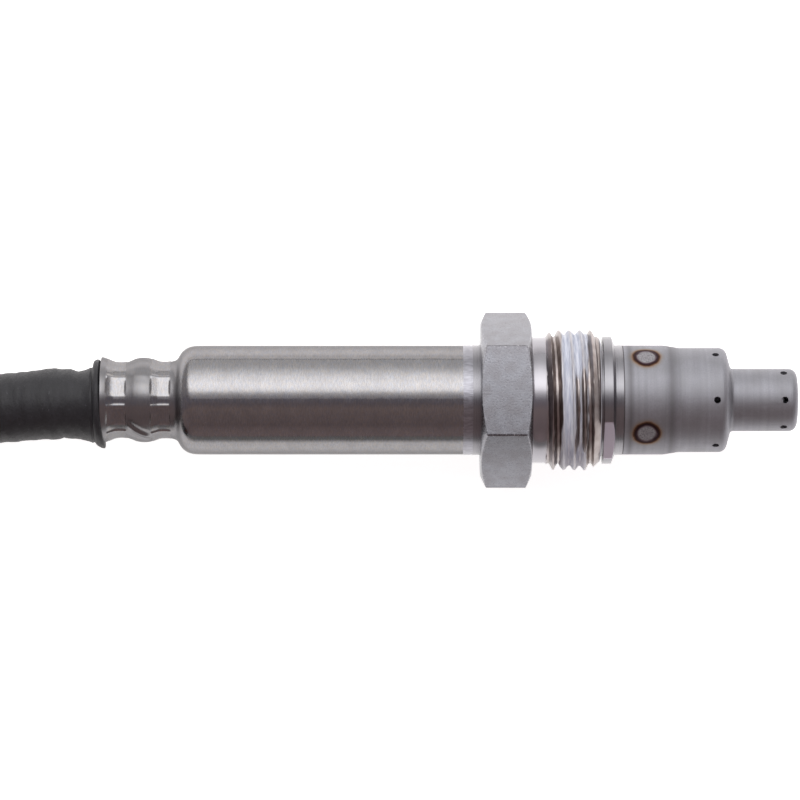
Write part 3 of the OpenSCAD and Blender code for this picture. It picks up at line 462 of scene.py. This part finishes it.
def put(tree, kind, inputs=None, **settings):
    """Adds a node with its settings. An input is a number, an sRGB hex colour, an output socket, or a node whose
    first output in use is linked. A ramp's stops are (place, colour or grey)."""
    made = tree.nodes.new("ShaderNode" + kind)
    stops = settings.pop("stops", ())
    for name, value in settings.items():
        setattr(made, name, value)
    for i, (place, colour) in enumerate(stops):
        ramp = made.color_ramp.elements
        stop = ramp[i] if i < 2 else ramp.new(place)
        stop.position = place
        stop.color = linear(colour) if isinstance(colour, str) else (colour, colour, colour, 1)
    for name, value in (inputs or {}).items():
        sockets = made.inputs
        socket = sockets[name] if isinstance(name, int) else next(s for s in sockets if s.name == name and s.enabled)
        if isinstance(value, bpy.types.Node):
            value = next(s for s in value.outputs if s.enabled)
        if isinstance(value, bpy.types.NodeSocket):
            tree.links.new(value, socket)
        else:
            socket.default_value = linear(value) if isinstance(value, str) else value
    return made


def start_material(name):
    """A material with an empty node tree, and the object's coordinates in that tree."""
    material = bpy.data.materials.new(name)
    material.use_nodes = True
    tree = material.node_tree
    tree.nodes.clear()
    return material, tree, put(tree, "TexCoord").outputs["Object"]


def per_mm(*sizes):
    """Mapping scales that give a pattern grains of the given sizes along X, Y and Z."""
    return [1 / (size * MM) for size in sizes]


# Turn of the highlights of metal that was worked round the probe's axis, as a share of a full turn
ROUND_GRAIN_TURN = 0.25


def ground_tube_steel():
    """Stainless tube, ground while it turned: a clear band of light broken up by short strokes round the tube.
    Its jaws' prints are burnished, and the bulge between them is dull."""
    material, tree, here = start_material("ground_stainless_tube")
    # Grinding marks are 0.02 mm wide. They are drawn 0.1 mm wide, which is as fine as the render can show.
    strokes = put(tree, "TexNoise", {
        "Vector": put(tree, "Mapping", {"Vector": here, "Scale": per_mm(0.1, 0.75, 0.75)}),
        "Scale": 1.0, "Detail": 3.0, "Roughness": 0.75})
    clouds = put(tree, "TexNoise", {
        "Vector": put(tree, "Mapping", {"Vector": here, "Scale": per_mm(1.6, 2.5, 2.5)}), "Scale": 1.0, "Detail": 3.0})
    cast = put(tree, "TexNoise", {
        "Vector": put(tree, "Mapping", {"Vector": here, "Scale": per_mm(0.35, 0.5, 0.5), "Location": (3, 1, 7)}),
        "Scale": 1.0, "Detail": 1.0})
    dull = put(tree, "Attribute", attribute_name="dull").outputs["Fac"]
    tone = put(tree, "ValToRGB", {"Fac": strokes}, stops=[(0.28, "#7e7d7f"), (0.72, "#a5a4a7")])
    tinted = put(tree, "ValToRGB", {"Fac": cast}, stops=[(0.3, "#8f959f"), (0.7, "#a99f90")])
    tone = put(tree, "Mix", {"Factor": 0.25, "A": tone, "B": tinted}, data_type="RGBA")
    shade = put(tree, "MapRange", {"Value": clouds, "From Min": 0.35, "From Max": 0.7, "To Max": 0.3})
    tone = put(tree, "Mix", {"Factor": shade, "A": tone, "B": "#7f7d7e"}, data_type="RGBA")
    tone = put(tree, "Mix", {"Factor": put(tree, "Math", {0: dull, 1: 0.6}, operation="MULTIPLY"), "A": tone,
                             "B": "#858486"}, data_type="RGBA")
    rough = put(tree, "MapRange", {"Value": strokes, "From Min": 0.3, "From Max": 0.7, "To Min": 0.09, "To Max": 0.2})
    rough = put(tree, "Math", {0: rough, 1: put(tree, "Math", {0: dull, 1: 0.2}, operation="MULTIPLY")},
                operation="ADD")
    relief = put(tree, "Bump", {"Height": strokes, "Distance": 0.006 * MM})
    surface = put(tree, "BsdfPrincipled", {
        "Base Color": tone, "Metallic": 1.0, "Roughness": rough, "Anisotropic": 0.75,
        "Anisotropic Rotation": ROUND_GRAIN_TURN, "Tangent": put(tree, "Tangent", direction_type="RADIAL", axis="X"),
        "Specular Tint": "#bababa",
        "Normal": put(tree, "Bump", {"Height": clouds, "Distance": 0.02 * MM, "Normal": relief})})
    put(tree, "OutputMaterial", {"Surface": surface})
    return material


# The cup's spot welds: their place along it, their number, the radius of its sleeve, and how far their heat tint
# reaches
WELD_SPOT_X = 29.575
WELD_SPOTS = 4
CUP_SLEEVE_R = 7.75
TINT_REACH = 2.7


def weld_spot_distance(tree, here):
    """Distance from the nearest spot weld, as a share of how far its heat tint reaches."""
    place = put(tree, "SeparateXYZ", {0: here})
    along = put(tree, "Math", {0: place.outputs["X"], 1: WELD_SPOT_X * MM}, operation="SUBTRACT")
    up = put(tree, "Math", {0: place.outputs["Z"], 1: AXIS_Z * MM}, operation="SUBTRACT")
    turn = put(tree, "Math", {0: place.outputs["Y"], 1: up}, operation="ARCTAN2")
    quarter = 2 * math.pi / WELD_SPOTS
    turn = put(tree, "Math", {0: turn, 1: 8 * quarter}, operation="ADD")
    turn = put(tree, "Math", {0: turn, 1: quarter}, operation="MODULO")
    turn = put(tree, "Math", {0: turn, 1: quarter / 2}, operation="SUBTRACT")
    across = put(tree, "Math", {0: turn, 1: CUP_SLEEVE_R * MM}, operation="MULTIPLY")
    offset = put(tree, "CombineXYZ", {0: along, 1: across})
    uneven = put(tree, "TexNoise", {
        "Vector": put(tree, "Mapping", {"Vector": here, "Scale": per_mm(0.9, 0.9, 0.9)}), "Scale": 1.0})
    length = put(tree, "VectorMath", {0: offset}, operation="LENGTH").outputs["Value"]
    length = put(tree, "Math", {0: uneven, 1: 0.3 * MM, 2: length}, operation="MULTIPLY_ADD")
    length = put(tree, "Math", {0: length, 1: 0.15 * MM}, operation="SUBTRACT")
    return put(tree, "Math", {0: length, 1: TINT_REACH * MM}, operation="DIVIDE")


def pickled_cup_steel():
    """Deep-drawn stainless cup, satin from its pickling bath: a soft sheen with faint drawing rings, and heat
    tints round its spot welds."""
    material, tree, here = start_material("pickled_stainless_cup")
    speckle = put(tree, "TexNoise", {
        "Vector": put(tree, "Mapping", {"Vector": here, "Scale": per_mm(0.2, 0.2, 0.2)}), "Scale": 1.0, "Detail": 3.0,
        "Roughness": 0.65})
    clouds = put(tree, "TexNoise", {
        "Vector": put(tree, "Mapping", {"Vector": here, "Scale": per_mm(2, 2.5, 2.5)}), "Scale": 1.0, "Detail": 3.0})
    rings = put(tree, "TexNoise", {
        "Vector": put(tree, "Mapping", {"Vector": here, "Scale": per_mm(0.6, 30, 30)}), "Scale": 1.0, "Detail": 2.0})
    tone = put(tree, "ValToRGB", {"Fac": speckle}, stops=[(0.3, "#99999f"), (0.7, "#acacb3")])
    tone = put(tree, "Mix", {"Factor": put(tree, "MapRange", {"Value": clouds, "From Min": 0.3, "From Max": 0.7,
                                                             "To Max": 0.35}), "A": tone, "B": "#8a8a8b"},
               data_type="RGBA")
    tone = put(tree, "Mix", {"Factor": put(tree, "MapRange", {"Value": rings, "From Min": 0.35, "From Max": 0.7,
                                                             "To Max": 0.3}), "A": tone, "B": "#848587"},
               data_type="RGBA")
    # Darker bands at set places along the cup, from 26 to 36 mm
    place = put(tree, "SeparateXYZ", {0: here})
    along = put(tree, "MapRange", {"Value": place.outputs["X"], "From Min": 26 * MM, "From Max": 36 * MM})
    bands = put(tree, "ValToRGB", {"Fac": along}, stops=[
        (0, 0.95), (1, 0.0), (0.042, 0.95), (0.052, 0.0), (0.08, 0.1), (0.13, 0.45), (0.2, 0.05), (0.63, 0.05),
        (0.7, 0.45), (0.76, 0.3), (0.85, 0.0)])
    tone = put(tree, "Mix", {"Factor": bands, "A": tone, "B": "#5a5759"}, data_type="RGBA")
    distance = weld_spot_distance(tree, here)
    tint = put(tree, "ValToRGB", {"Fac": distance}, stops=[
        (0, "#8d8b8f"), (1, "#8c8580"), (0.42, "#98969a"), (0.49, "#75686a"), (0.54, "#43313a"), (0.62, "#33231f"),
        (0.69, "#5a4034"), (0.75, "#8b6c4e"), (0.83, "#948370")])
    share = put(tree, "ValToRGB", {"Fac": distance}, stops=[(0, 1.0), (1, 0.0), (0.7, 1.0), (0.78, 0.6), (0.86, 0.3)])
    mottled = put(tree, "ValToRGB", {"Fac": speckle}, stops=[(0.35, "#5f5d60"), (0.6, "#b5b3b6")])
    disc = put(tree, "MapRange", {"Value": distance, "From Min": 0.46, "From Max": 0.4, "To Max": 0.6})
    tint = put(tree, "Mix", {"Factor": disc, "A": tint, "B": mottled}, data_type="RGBA")
    tone = put(tree, "Mix", {"Factor": share, "A": tone, "B": tint}, data_type="RGBA")
    rough = put(tree, "MapRange", {"Value": speckle, "From Min": 0.3, "From Max": 0.7, "To Min": 0.54, "To Max": 0.64})
    surface = put(tree, "BsdfPrincipled", {
        "Base Color": tone, "Metallic": 1.0, "Roughness": rough,
        "Normal": put(tree, "Bump", {"Height": speckle, "Distance": 0.006 * MM})})
    put(tree, "OutputMaterial", {"Surface": surface})
    return material


# The index flat on the shell's collar: its angle from straight up, its distance from the axis, and how far from
# its plane it is still painted
INDEX_FLAT_ANGLE = math.radians(50)
INDEX_FLAT_R = 8.38
INDEX_FLAT_DEPTH = 0.06


def turned_steel(name, dark, light, roughness, index_flat=False):
    """Turned metal: bright, with the lathe's fine lines round it. The index flat was milled, so it is rougher, and
    its paler, purplish tone is a painted reflection."""
    material, tree, here = start_material(name)
    # Lathe lines are 0.03 mm apart, and are drawn at 0.07 mm.
    lines = put(tree, "TexNoise", {
        "Vector": put(tree, "Mapping", {"Vector": here, "Scale": per_mm(0.07, 12, 12)}), "Scale": 1.0, "Detail": 3.0,
        "Roughness": 0.7})
    clouds = put(tree, "TexNoise", {
        "Vector": put(tree, "Mapping", {"Vector": here, "Scale": per_mm(1.5, 1.5, 1.5)}), "Scale": 1.0, "Detail": 3.0})
    tone = put(tree, "ValToRGB", {"Fac": lines}, stops=[(0.3, dark), (0.7, light)])
    shade = put(tree, "MapRange", {"Value": clouds, "From Min": 0.3, "From Max": 0.7, "To Max": 0.4})
    tone = put(tree, "Mix", {"Factor": shade, "A": tone, "B": dark}, data_type="RGBA")
    rough = put(tree, "MapRange", {"Value": lines, "From Min": 0.3, "From Max": 0.7, "To Min": roughness - 0.05,
                                   "To Max": roughness + 0.05})
    if index_flat:
        facing = (0, -math.sin(INDEX_FLAT_ANGLE), math.cos(INDEX_FLAT_ANGLE))
        height = put(tree, "VectorMath", {0: here, 1: facing}, operation="DOT_PRODUCT").outputs["Value"]
        level = (AXIS_Z * facing[2] + INDEX_FLAT_R) * MM
        milled = put(tree, "Math", {0: height, 1: level, 2: INDEX_FLAT_DEPTH * MM}, operation="COMPARE")
        # Painted reflection: the flat's paler, purplish tone. Its higher roughness is from the milling.
        tone = put(tree, "Mix", {"Factor": milled, "A": tone, "B": "#cbc3ce"}, data_type="RGBA")
        rough = put(tree, "Mix", {"Factor": milled, "A": rough, "B": 0.6}, data_type="FLOAT")
    surface = put(tree, "BsdfPrincipled", {
        "Base Color": tone, "Metallic": 1.0, "Roughness": rough, "Anisotropic": 0.5,
        "Anisotropic Rotation": ROUND_GRAIN_TURN, "Tangent": put(tree, "Tangent", direction_type="RADIAL", axis="X"),
        "Normal": put(tree, "Bump", {"Height": lines, "Distance": 0.004 * MM})})
    put(tree, "OutputMaterial", {"Surface": surface})
    return material


def laser_weld_metal():
    """Laser weld bead: steel that melted again, frosty white, with a fine ripple for each pulse."""
    material, tree, here = start_material("laser_weld_bead")
    ripple = put(tree, "TexNoise", {
        "Vector": put(tree, "Mapping", {"Vector": here, "Scale": per_mm(1.0, 0.3, 0.3)}), "Scale": 1.0, "Detail": 2.0})
    tone = put(tree, "ValToRGB", {"Fac": ripple}, stops=[(0.3, "#8a898f"), (0.7, "#a6a6ad")])
    surface = put(tree, "BsdfPrincipled", {
        "Base Color": tone, "Metallic": 1.0, "Roughness": 0.3,
        "Normal": put(tree, "Bump", {"Height": ripple, "Distance": 0.02 * MM})})
    put(tree, "OutputMaterial", {"Surface": surface})
    return material


def formed_nut_steel():
    """Cold-formed stainless nut: matte grey mottled sides with a painted shade line along each corner and worn bright
    specks, a turned relief, and a thread with brown-stained grooves under blue-white anti-seize paste."""
    material, tree, here = start_material("cold_formed_stainless_nut")
    speckle = put(tree, "TexNoise", {
        "Vector": put(tree, "Mapping", {"Vector": here, "Scale": per_mm(0.25, 0.25, 0.25)}), "Scale": 1.0,
        "Detail": 4.0, "Roughness": 0.7})
    clouds = put(tree, "TexNoise", {
        "Vector": put(tree, "Mapping", {"Vector": here, "Scale": per_mm(1.6, 1.6, 1.6)}), "Scale": 1.0, "Detail": 4.0})
    turned = put(tree, "Attribute", attribute_name="turned").outputs["Fac"]
    corner = put(tree, "Attribute", attribute_name="corner").outputs["Fac"]
    worn = put(tree, "Attribute", attribute_name="worn").outputs["Fac"]
    paste = put(tree, "Attribute", attribute_name="paste").outputs["Fac"]
    tone = put(tree, "ValToRGB", {"Fac": speckle}, stops=[(0.3, "#7f8086"), (0.7, "#9a9ba1")])
    shade = put(tree, "MapRange", {"Value": clouds, "From Min": 0.35, "From Max": 0.65, "To Max": 0.5})
    tone = put(tree, "Mix", {"Factor": shade, "A": tone, "B": "#7b787b"}, data_type="RGBA")
    tone = put(tree, "Mix", {"Factor": turned, "A": tone, "B": "#a2a0a5"}, data_type="RGBA")
    x = put(tree, "SeparateXYZ", {0: here}).outputs["X"]
    is_thread = put(tree, "MapRange", {"Value": x, "From Min": (THREAD_X - 0.3) * MM, "From Max": (THREAD_X + 0.3) * MM,
                                       "To Max": 0.85})
    stain = put(tree, "ValToRGB", {"Fac": clouds}, stops=[(0.3, "#897d77"), (0.7, "#a8a09d")])
    tone = put(tree, "Mix", {"Factor": is_thread, "A": tone, "B": stain}, data_type="RGBA")
    # Painted shade: a dark line along each corner stands in for the shade at its rounded edge. Bare bright specks of
    # wear lie on it and on the chamfers' edges.
    bruise = put(tree, "Math", {0: corner, 1: 0.4}, operation="MULTIPLY")
    tone = put(tree, "Mix", {"Factor": bruise, "A": tone, "B": "#4c484b"}, data_type="RGBA")
    speck = put(tree, "MapRange", {"Value": speckle, "From Min": 0.6, "From Max": 0.66})
    bare = put(tree, "Math", {0: put(tree, "Math", {0: corner, 1: worn}, operation="MAXIMUM"), 1: speck},
               operation="MULTIPLY")
    tone = put(tree, "Mix", {"Factor": bare, "A": tone, "B": "#d9d9de"}, data_type="RGBA")
    smear = put(tree, "TexNoise", {
        "Vector": put(tree, "Mapping", {"Vector": here, "Scale": per_mm(0.22, 2.5, 2.5)}), "Scale": 1.0, "Detail": 3.0})
    white = put(tree, "ValToRGB", {"Fac": smear}, stops=[(0.3, "#b9bfcf"), (0.7, "#eceff5")])
    tone = put(tree, "Mix", {"Factor": paste, "A": tone, "B": white}, data_type="RGBA")
    rough = put(tree, "MapRange", {"Value": speckle, "From Min": 0.3, "From Max": 0.7, "To Min": 0.24, "To Max": 0.34})
    rough = put(tree, "Mix", {"Factor": turned, "A": rough, "B": 0.2}, data_type="FLOAT")
    rough = put(tree, "Mix", {"Factor": is_thread, "A": rough, "B": 0.32}, data_type="FLOAT")
    rough = put(tree, "Mix", {"Factor": paste, "A": rough, "B": 0.5}, data_type="FLOAT")
    flaws = put(tree, "Math", {0: speckle, 1: put(tree, "Math", {0: 1.0, 1: turned}, operation="SUBTRACT")},
                operation="MULTIPLY")
    surface = put(tree, "BsdfPrincipled", {
        "Base Color": tone, "Roughness": rough,
        "Metallic": put(tree, "Math", {0: 1.0, 1: paste}, operation="SUBTRACT", use_clamp=True),
        "Normal": put(tree, "Bump", {"Height": flaws, "Distance": 0.016 * MM})})
    put(tree, "OutputMaterial", {"Surface": surface})
    return material


def extruded_sleeve_rubber():
    """Extruded rubber sleeve: matte black with a bluish bloom, and pale scuffs on its rings."""
    material, tree, here = start_material("extruded_rubber_sleeve")
    dust = put(tree, "TexNoise", {
        "Vector": put(tree, "Mapping", {"Vector": here, "Scale": per_mm(0.3, 0.3, 0.3)}), "Scale": 1.0, "Detail": 4.0,
        "Roughness": 0.7})
    blotches = put(tree, "TexNoise", {
        "Vector": put(tree, "Mapping", {"Vector": here, "Scale": per_mm(0.9, 2.5, 2.5)}), "Scale": 1.0, "Detail": 3.0})
    scuffs = put(tree, "TexNoise", {
        "Vector": put(tree, "Mapping", {"Vector": here, "Scale": per_mm(0.4, 1.1, 1.1), "Location": (7, 3, 1)}),
        "Scale": 1.0, "Detail": 4.0, "Roughness": 0.7})
    tone = put(tree, "ValToRGB", {"Fac": dust}, stops=[(0.3, "#1f1f22"), (0.7, "#2e2e33")])
    shade = put(tree, "MapRange", {"Value": blotches, "From Min": 0.35, "From Max": 0.7, "To Max": 0.6})
    tone = put(tree, "Mix", {"Factor": shade, "A": tone, "B": "#1b1b1e"}, data_type="RGBA")
    marks = put(tree, "MapRange", {"Value": scuffs, "From Min": 0.64, "From Max": 0.74, "To Max": 0.4})
    tone = put(tree, "Mix", {"Factor": marks, "A": tone, "B": "#6c6c73"}, data_type="RGBA")
    rough = put(tree, "MapRange", {"Value": dust, "From Min": 0.3, "From Max": 0.7, "To Min": 0.45, "To Max": 0.62})
    grain = put(tree, "Bump", {"Height": blotches, "Distance": 0.12 * MM})
    surface = put(tree, "BsdfPrincipled", {
        "Base Color": tone, "Roughness": rough,
        "Normal": put(tree, "Bump", {"Height": dust, "Distance": 0.05 * MM, "Normal": grain})})
    put(tree, "OutputMaterial", {"Surface": surface})
    return material


def moulded(name, dark, light, roughness, grain_mm, depth_mm):
    """A moulded, extruded or fired piece: one colour, a little uneven, with a fine grain."""
    material, tree, here = start_material(name)
    grain = put(tree, "TexNoise", {
        "Vector": put(tree, "Mapping", {"Vector": here, "Scale": per_mm(grain_mm, grain_mm, grain_mm)}), "Scale": 1.0,
        "Detail": 3.0, "Roughness": 0.6})
    coarse = 9 * grain_mm
    clouds = put(tree, "TexNoise", {
        "Vector": put(tree, "Mapping", {"Vector": here, "Scale": per_mm(coarse, coarse, coarse)}), "Scale": 1.0})
    tone = put(tree, "ValToRGB", {"Fac": grain}, stops=[(0.3, dark), (0.7, light)])
    shade = put(tree, "MapRange", {"Value": clouds, "From Min": 0.3, "From Max": 0.7, "To Max": 0.3})
    tone = put(tree, "Mix", {"Factor": shade, "A": tone, "B": dark}, data_type="RGBA")
    rough = put(tree, "MapRange", {"Value": grain, "From Min": 0.3, "From Max": 0.7, "To Min": roughness - 0.06,
                                   "To Max": roughness + 0.06})
    surface = put(tree, "BsdfPrincipled", {
        "Base Color": tone, "Roughness": rough,
        "Normal": put(tree, "Bump", {"Height": grain, "Distance": depth_mm * MM})})
    put(tree, "OutputMaterial", {"Surface": surface})
    return material


finishes = {
    "satin_steel": pickled_cup_steel(),
    "bright_steel": turned_steel("turned_stainless", "#838286", "#9a999d", 0.3),
    "nut_steel": formed_nut_steel(),
    "brushed_steel": ground_tube_steel(),
    # Tinned spring bronze: soft gloss, a little yellow
    "spring_steel": turned_steel("tinned_spring_bronze", "#a39c88", "#b9b4a4", 0.3),
    # Fired steatite: chalky off-white, almost no gloss
    "ceramic": moulded("fired_steatite", "#ddd8cc", "#ece8df", 0.5, 0.15, 0.01),
    # Pressed talc powder: dull, a little darker and greyer than the ceramic
    "talc": moulded("pressed_talc", "#bdb9ae", "#cfccc3", 0.9, 0.2, 0.03),
    # Extruded fluoropolymer insulation: smooth and waxy
    "wire_insulation": moulded("fluoropolymer_insulation", "#cdc9c0", "#dcd8d0", 0.4, 0.4, 0.004),
    # Moulded fluorocarbon rubber: black, matte
    "grommet_rubber": moulded("fluorocarbon_rubber", "#1f1f23", "#2b2b30", 0.7, 0.2, 0.01),
    # Moulded silicone: orange-brown, with a soft sheen
    "seal_rubber": moulded("moulded_silicone", "#b9521a", "#cc6224", 0.5, 0.3, 0.005),
    "cable_sleeve": extruded_sleeve_rubber(),
    # Moulded nylon of the ties: black with a soft gloss
    "tie_plastic": moulded("moulded_nylon", "#19191b", "#242427", 0.42, 0.3, 0.006),
    # Glass-filled nylon of the plug: charcoal, with the fine spark-eroded grain of its mould
    "plug_plastic": moulded("glass_filled_nylon", "#333437", "#424347", 0.5, 0.18, 0.02),
}
own_finishes = {
    "metal_shell": turned_steel("turned_stainless_shell", "#838286", "#9a999d", 0.3, index_flat=True),
    "weld_bead": laser_weld_metal(),
    # Inner cup: painted pale, a painted highlight for the light that it catches behind the cup's holes
    "inner_protector": turned_steel("inner_cup_painted_pale", "#dcdce0", "#ececf0", 0.85),
}

for part in frame["record"]["subparts"]:
    for slot in NODES[part["node"]].material_slots:
        slot.material = own_finishes.get(part["node"], finishes[part["material_slot"]])
cable.data.materials.append(finishes["cable_sleeve"])
tube.data.materials.append(finishes["brushed_steel"])
nut.data.materials.append(finishes["nut_steel"])

# Studio, with sizes in metres. The table is overexposed in the photo, and metal shows how bright it really is.
TABLE_HALF = 4
TABLE_GLOW = 0.84
TABLE_GLOW_IN_METAL = 1.0


def add_floor():
    """White studio table. The camera sees it lit evenly, and metal sees it fall off into the dark front of the
    studio. It keeps the object's shadow."""
    mesh = bpy.data.meshes.new("floor")
    corners = [(-TABLE_HALF, -TABLE_HALF, 0), (TABLE_HALF, -TABLE_HALF, 0), (TABLE_HALF, TABLE_HALF, 0),
               (-TABLE_HALF, TABLE_HALF, 0)]
    mesh.from_pydata(corners, [], [(0, 1, 2, 3)])
    floor = bpy.data.objects.new("floor", mesh)
    bpy.context.scene.collection.objects.link(floor)
    material, tree, here = start_material("white_table")
    path = put(tree, "LightPath")
    seen = put(tree, "Math", {0: path.outputs["Is Camera Ray"], 1: path.outputs["Is Transmission Ray"]},
               operation="ADD")
    seen = put(tree, "Math", {0: seen, 1: path.outputs["Is Glossy Ray"]}, operation="ADD", use_clamp=True)
    # How bright metal sees the table, from 100 mm in front of the probe's axis to 100 mm behind it
    y = put(tree, "SeparateXYZ", {0: here}).outputs["Y"]
    y = put(tree, "MapRange", {"Value": y, "From Min": -100 * MM, "From Max": 100 * MM})
    fall = put(tree, "ValToRGB", {"Fac": y}, stops=[
        (0, 0.18), (1, 0.64), (0.15, 0.36), (0.27, 0.73), (0.34, 0.78), (0.42, 1.0), (0.61, 1.0), (0.7, 0.98),
        (0.82, 0.82)])
    fall = put(tree, "Math", {0: fall, 1: TABLE_GLOW_IN_METAL / TABLE_GLOW}, operation="MULTIPLY")
    share = put(tree, "Mix", {"Factor": path.outputs["Is Glossy Ray"], "A": 1.0, "B": fall}, data_type="FLOAT")
    colour = put(tree, "Mix", {"Factor": share, "A": "#000000", "B": "#e6e3e1"}, data_type="RGBA")
    table = put(tree, "BsdfPrincipled", {"Base Color": colour, "Roughness": 0.9, "Specular IOR Level": 0.0})
    strength = put(tree, "Math", {0: seen, 1: TABLE_GLOW}, operation="MULTIPLY")
    strength = put(tree, "Math", {0: strength, 1: share}, operation="MULTIPLY")
    glow = put(tree, "Emission", {"Strength": strength})
    put(tree, "OutputMaterial", {"Surface": put(tree, "AddShader", {0: glow, 1: table})})
    mesh.materials.append(material)


def add_softbox(direction, distance, width, length, radiance):
    """A large softbox, hottest along its middle. Its direction is in degrees from straight up towards the front,
    and its length runs along the probe."""
    data = bpy.data.lights.new("softbox", "AREA")
    data.shape = "RECTANGLE"
    data.size, data.size_y = length, width
    data.energy = radiance * math.pi * width * length
    data.use_nodes = True
    tree = data.node_tree
    tree.nodes.clear()
    place = put(tree, "SeparateXYZ", {0: put(tree, "NewGeometry").outputs["Parametric"]})
    # From the near edge, over the probe, to the far edge, low behind it
    glow = put(tree, "ValToRGB", {"Fac": place.outputs["Y"]}, stops=[
        (0, 0.12), (1, 0.21), (0.07, 0.16), (0.12, 0.22), (0.17, 0.36), (0.22, 0.72), (0.265, 0.9), (0.33, 1.0),
        (0.39, 0.98), (0.51, 0.77), (0.63, 0.44), (0.7, 0.29), (0.79, 0.22), (0.89, 0.2)])
    put(tree, "OutputLight", {"Surface": put(tree, "Emission", {"Color": glow, "Strength": 1.0})})
    lamp = bpy.data.objects.new("softbox", data)
    turn = math.radians(direction)
    lamp.location = Vector((0, 0, AXIS_Z * MM)) + distance * Vector((0, -math.sin(turn), math.cos(turn)))
    lamp.rotation_euler = (turn, 0, 0)
    lamp.visible_camera = False
    bpy.context.scene.collection.objects.link(lamp)


def add_world():
    """A dim warm room: pale low down behind the table, slate overhead, brown in front."""
    world = bpy.data.worlds.new("room")
    bpy.context.scene.world = world
    world.use_nodes = True
    tree = world.node_tree
    tree.nodes.clear()
    place = put(tree, "SeparateXYZ", {0: put(tree, "TexCoord").outputs["Generated"]})
    front = put(tree, "MapRange", {"Value": place.outputs["Y"], "From Min": 1.0, "From Max": -1.0})
    tone = put(tree, "ValToRGB", {"Fac": front}, stops=[
        (0, "#bcbabb"), (1, "#9c8a8a"), (0.05, "#bab8b9"), (0.35, "#b4afb1"), (0.46, "#9f999c"), (0.5, "#857f86"),
        (0.58, "#8b848b"), (0.63, "#877c80"), (0.71, "#988785"), (0.83, "#8e7e7e"), (0.94, "#877777")])
    put(tree, "OutputWorld", {"Surface": put(tree, "Background", {"Color": tone})})


add_floor()
add_softbox(direction=-42, distance=0.7, width=1.45, length=0.95, radiance=2.1)
add_world()
bpy.context.scene.view_settings.view_transform = "Standard"
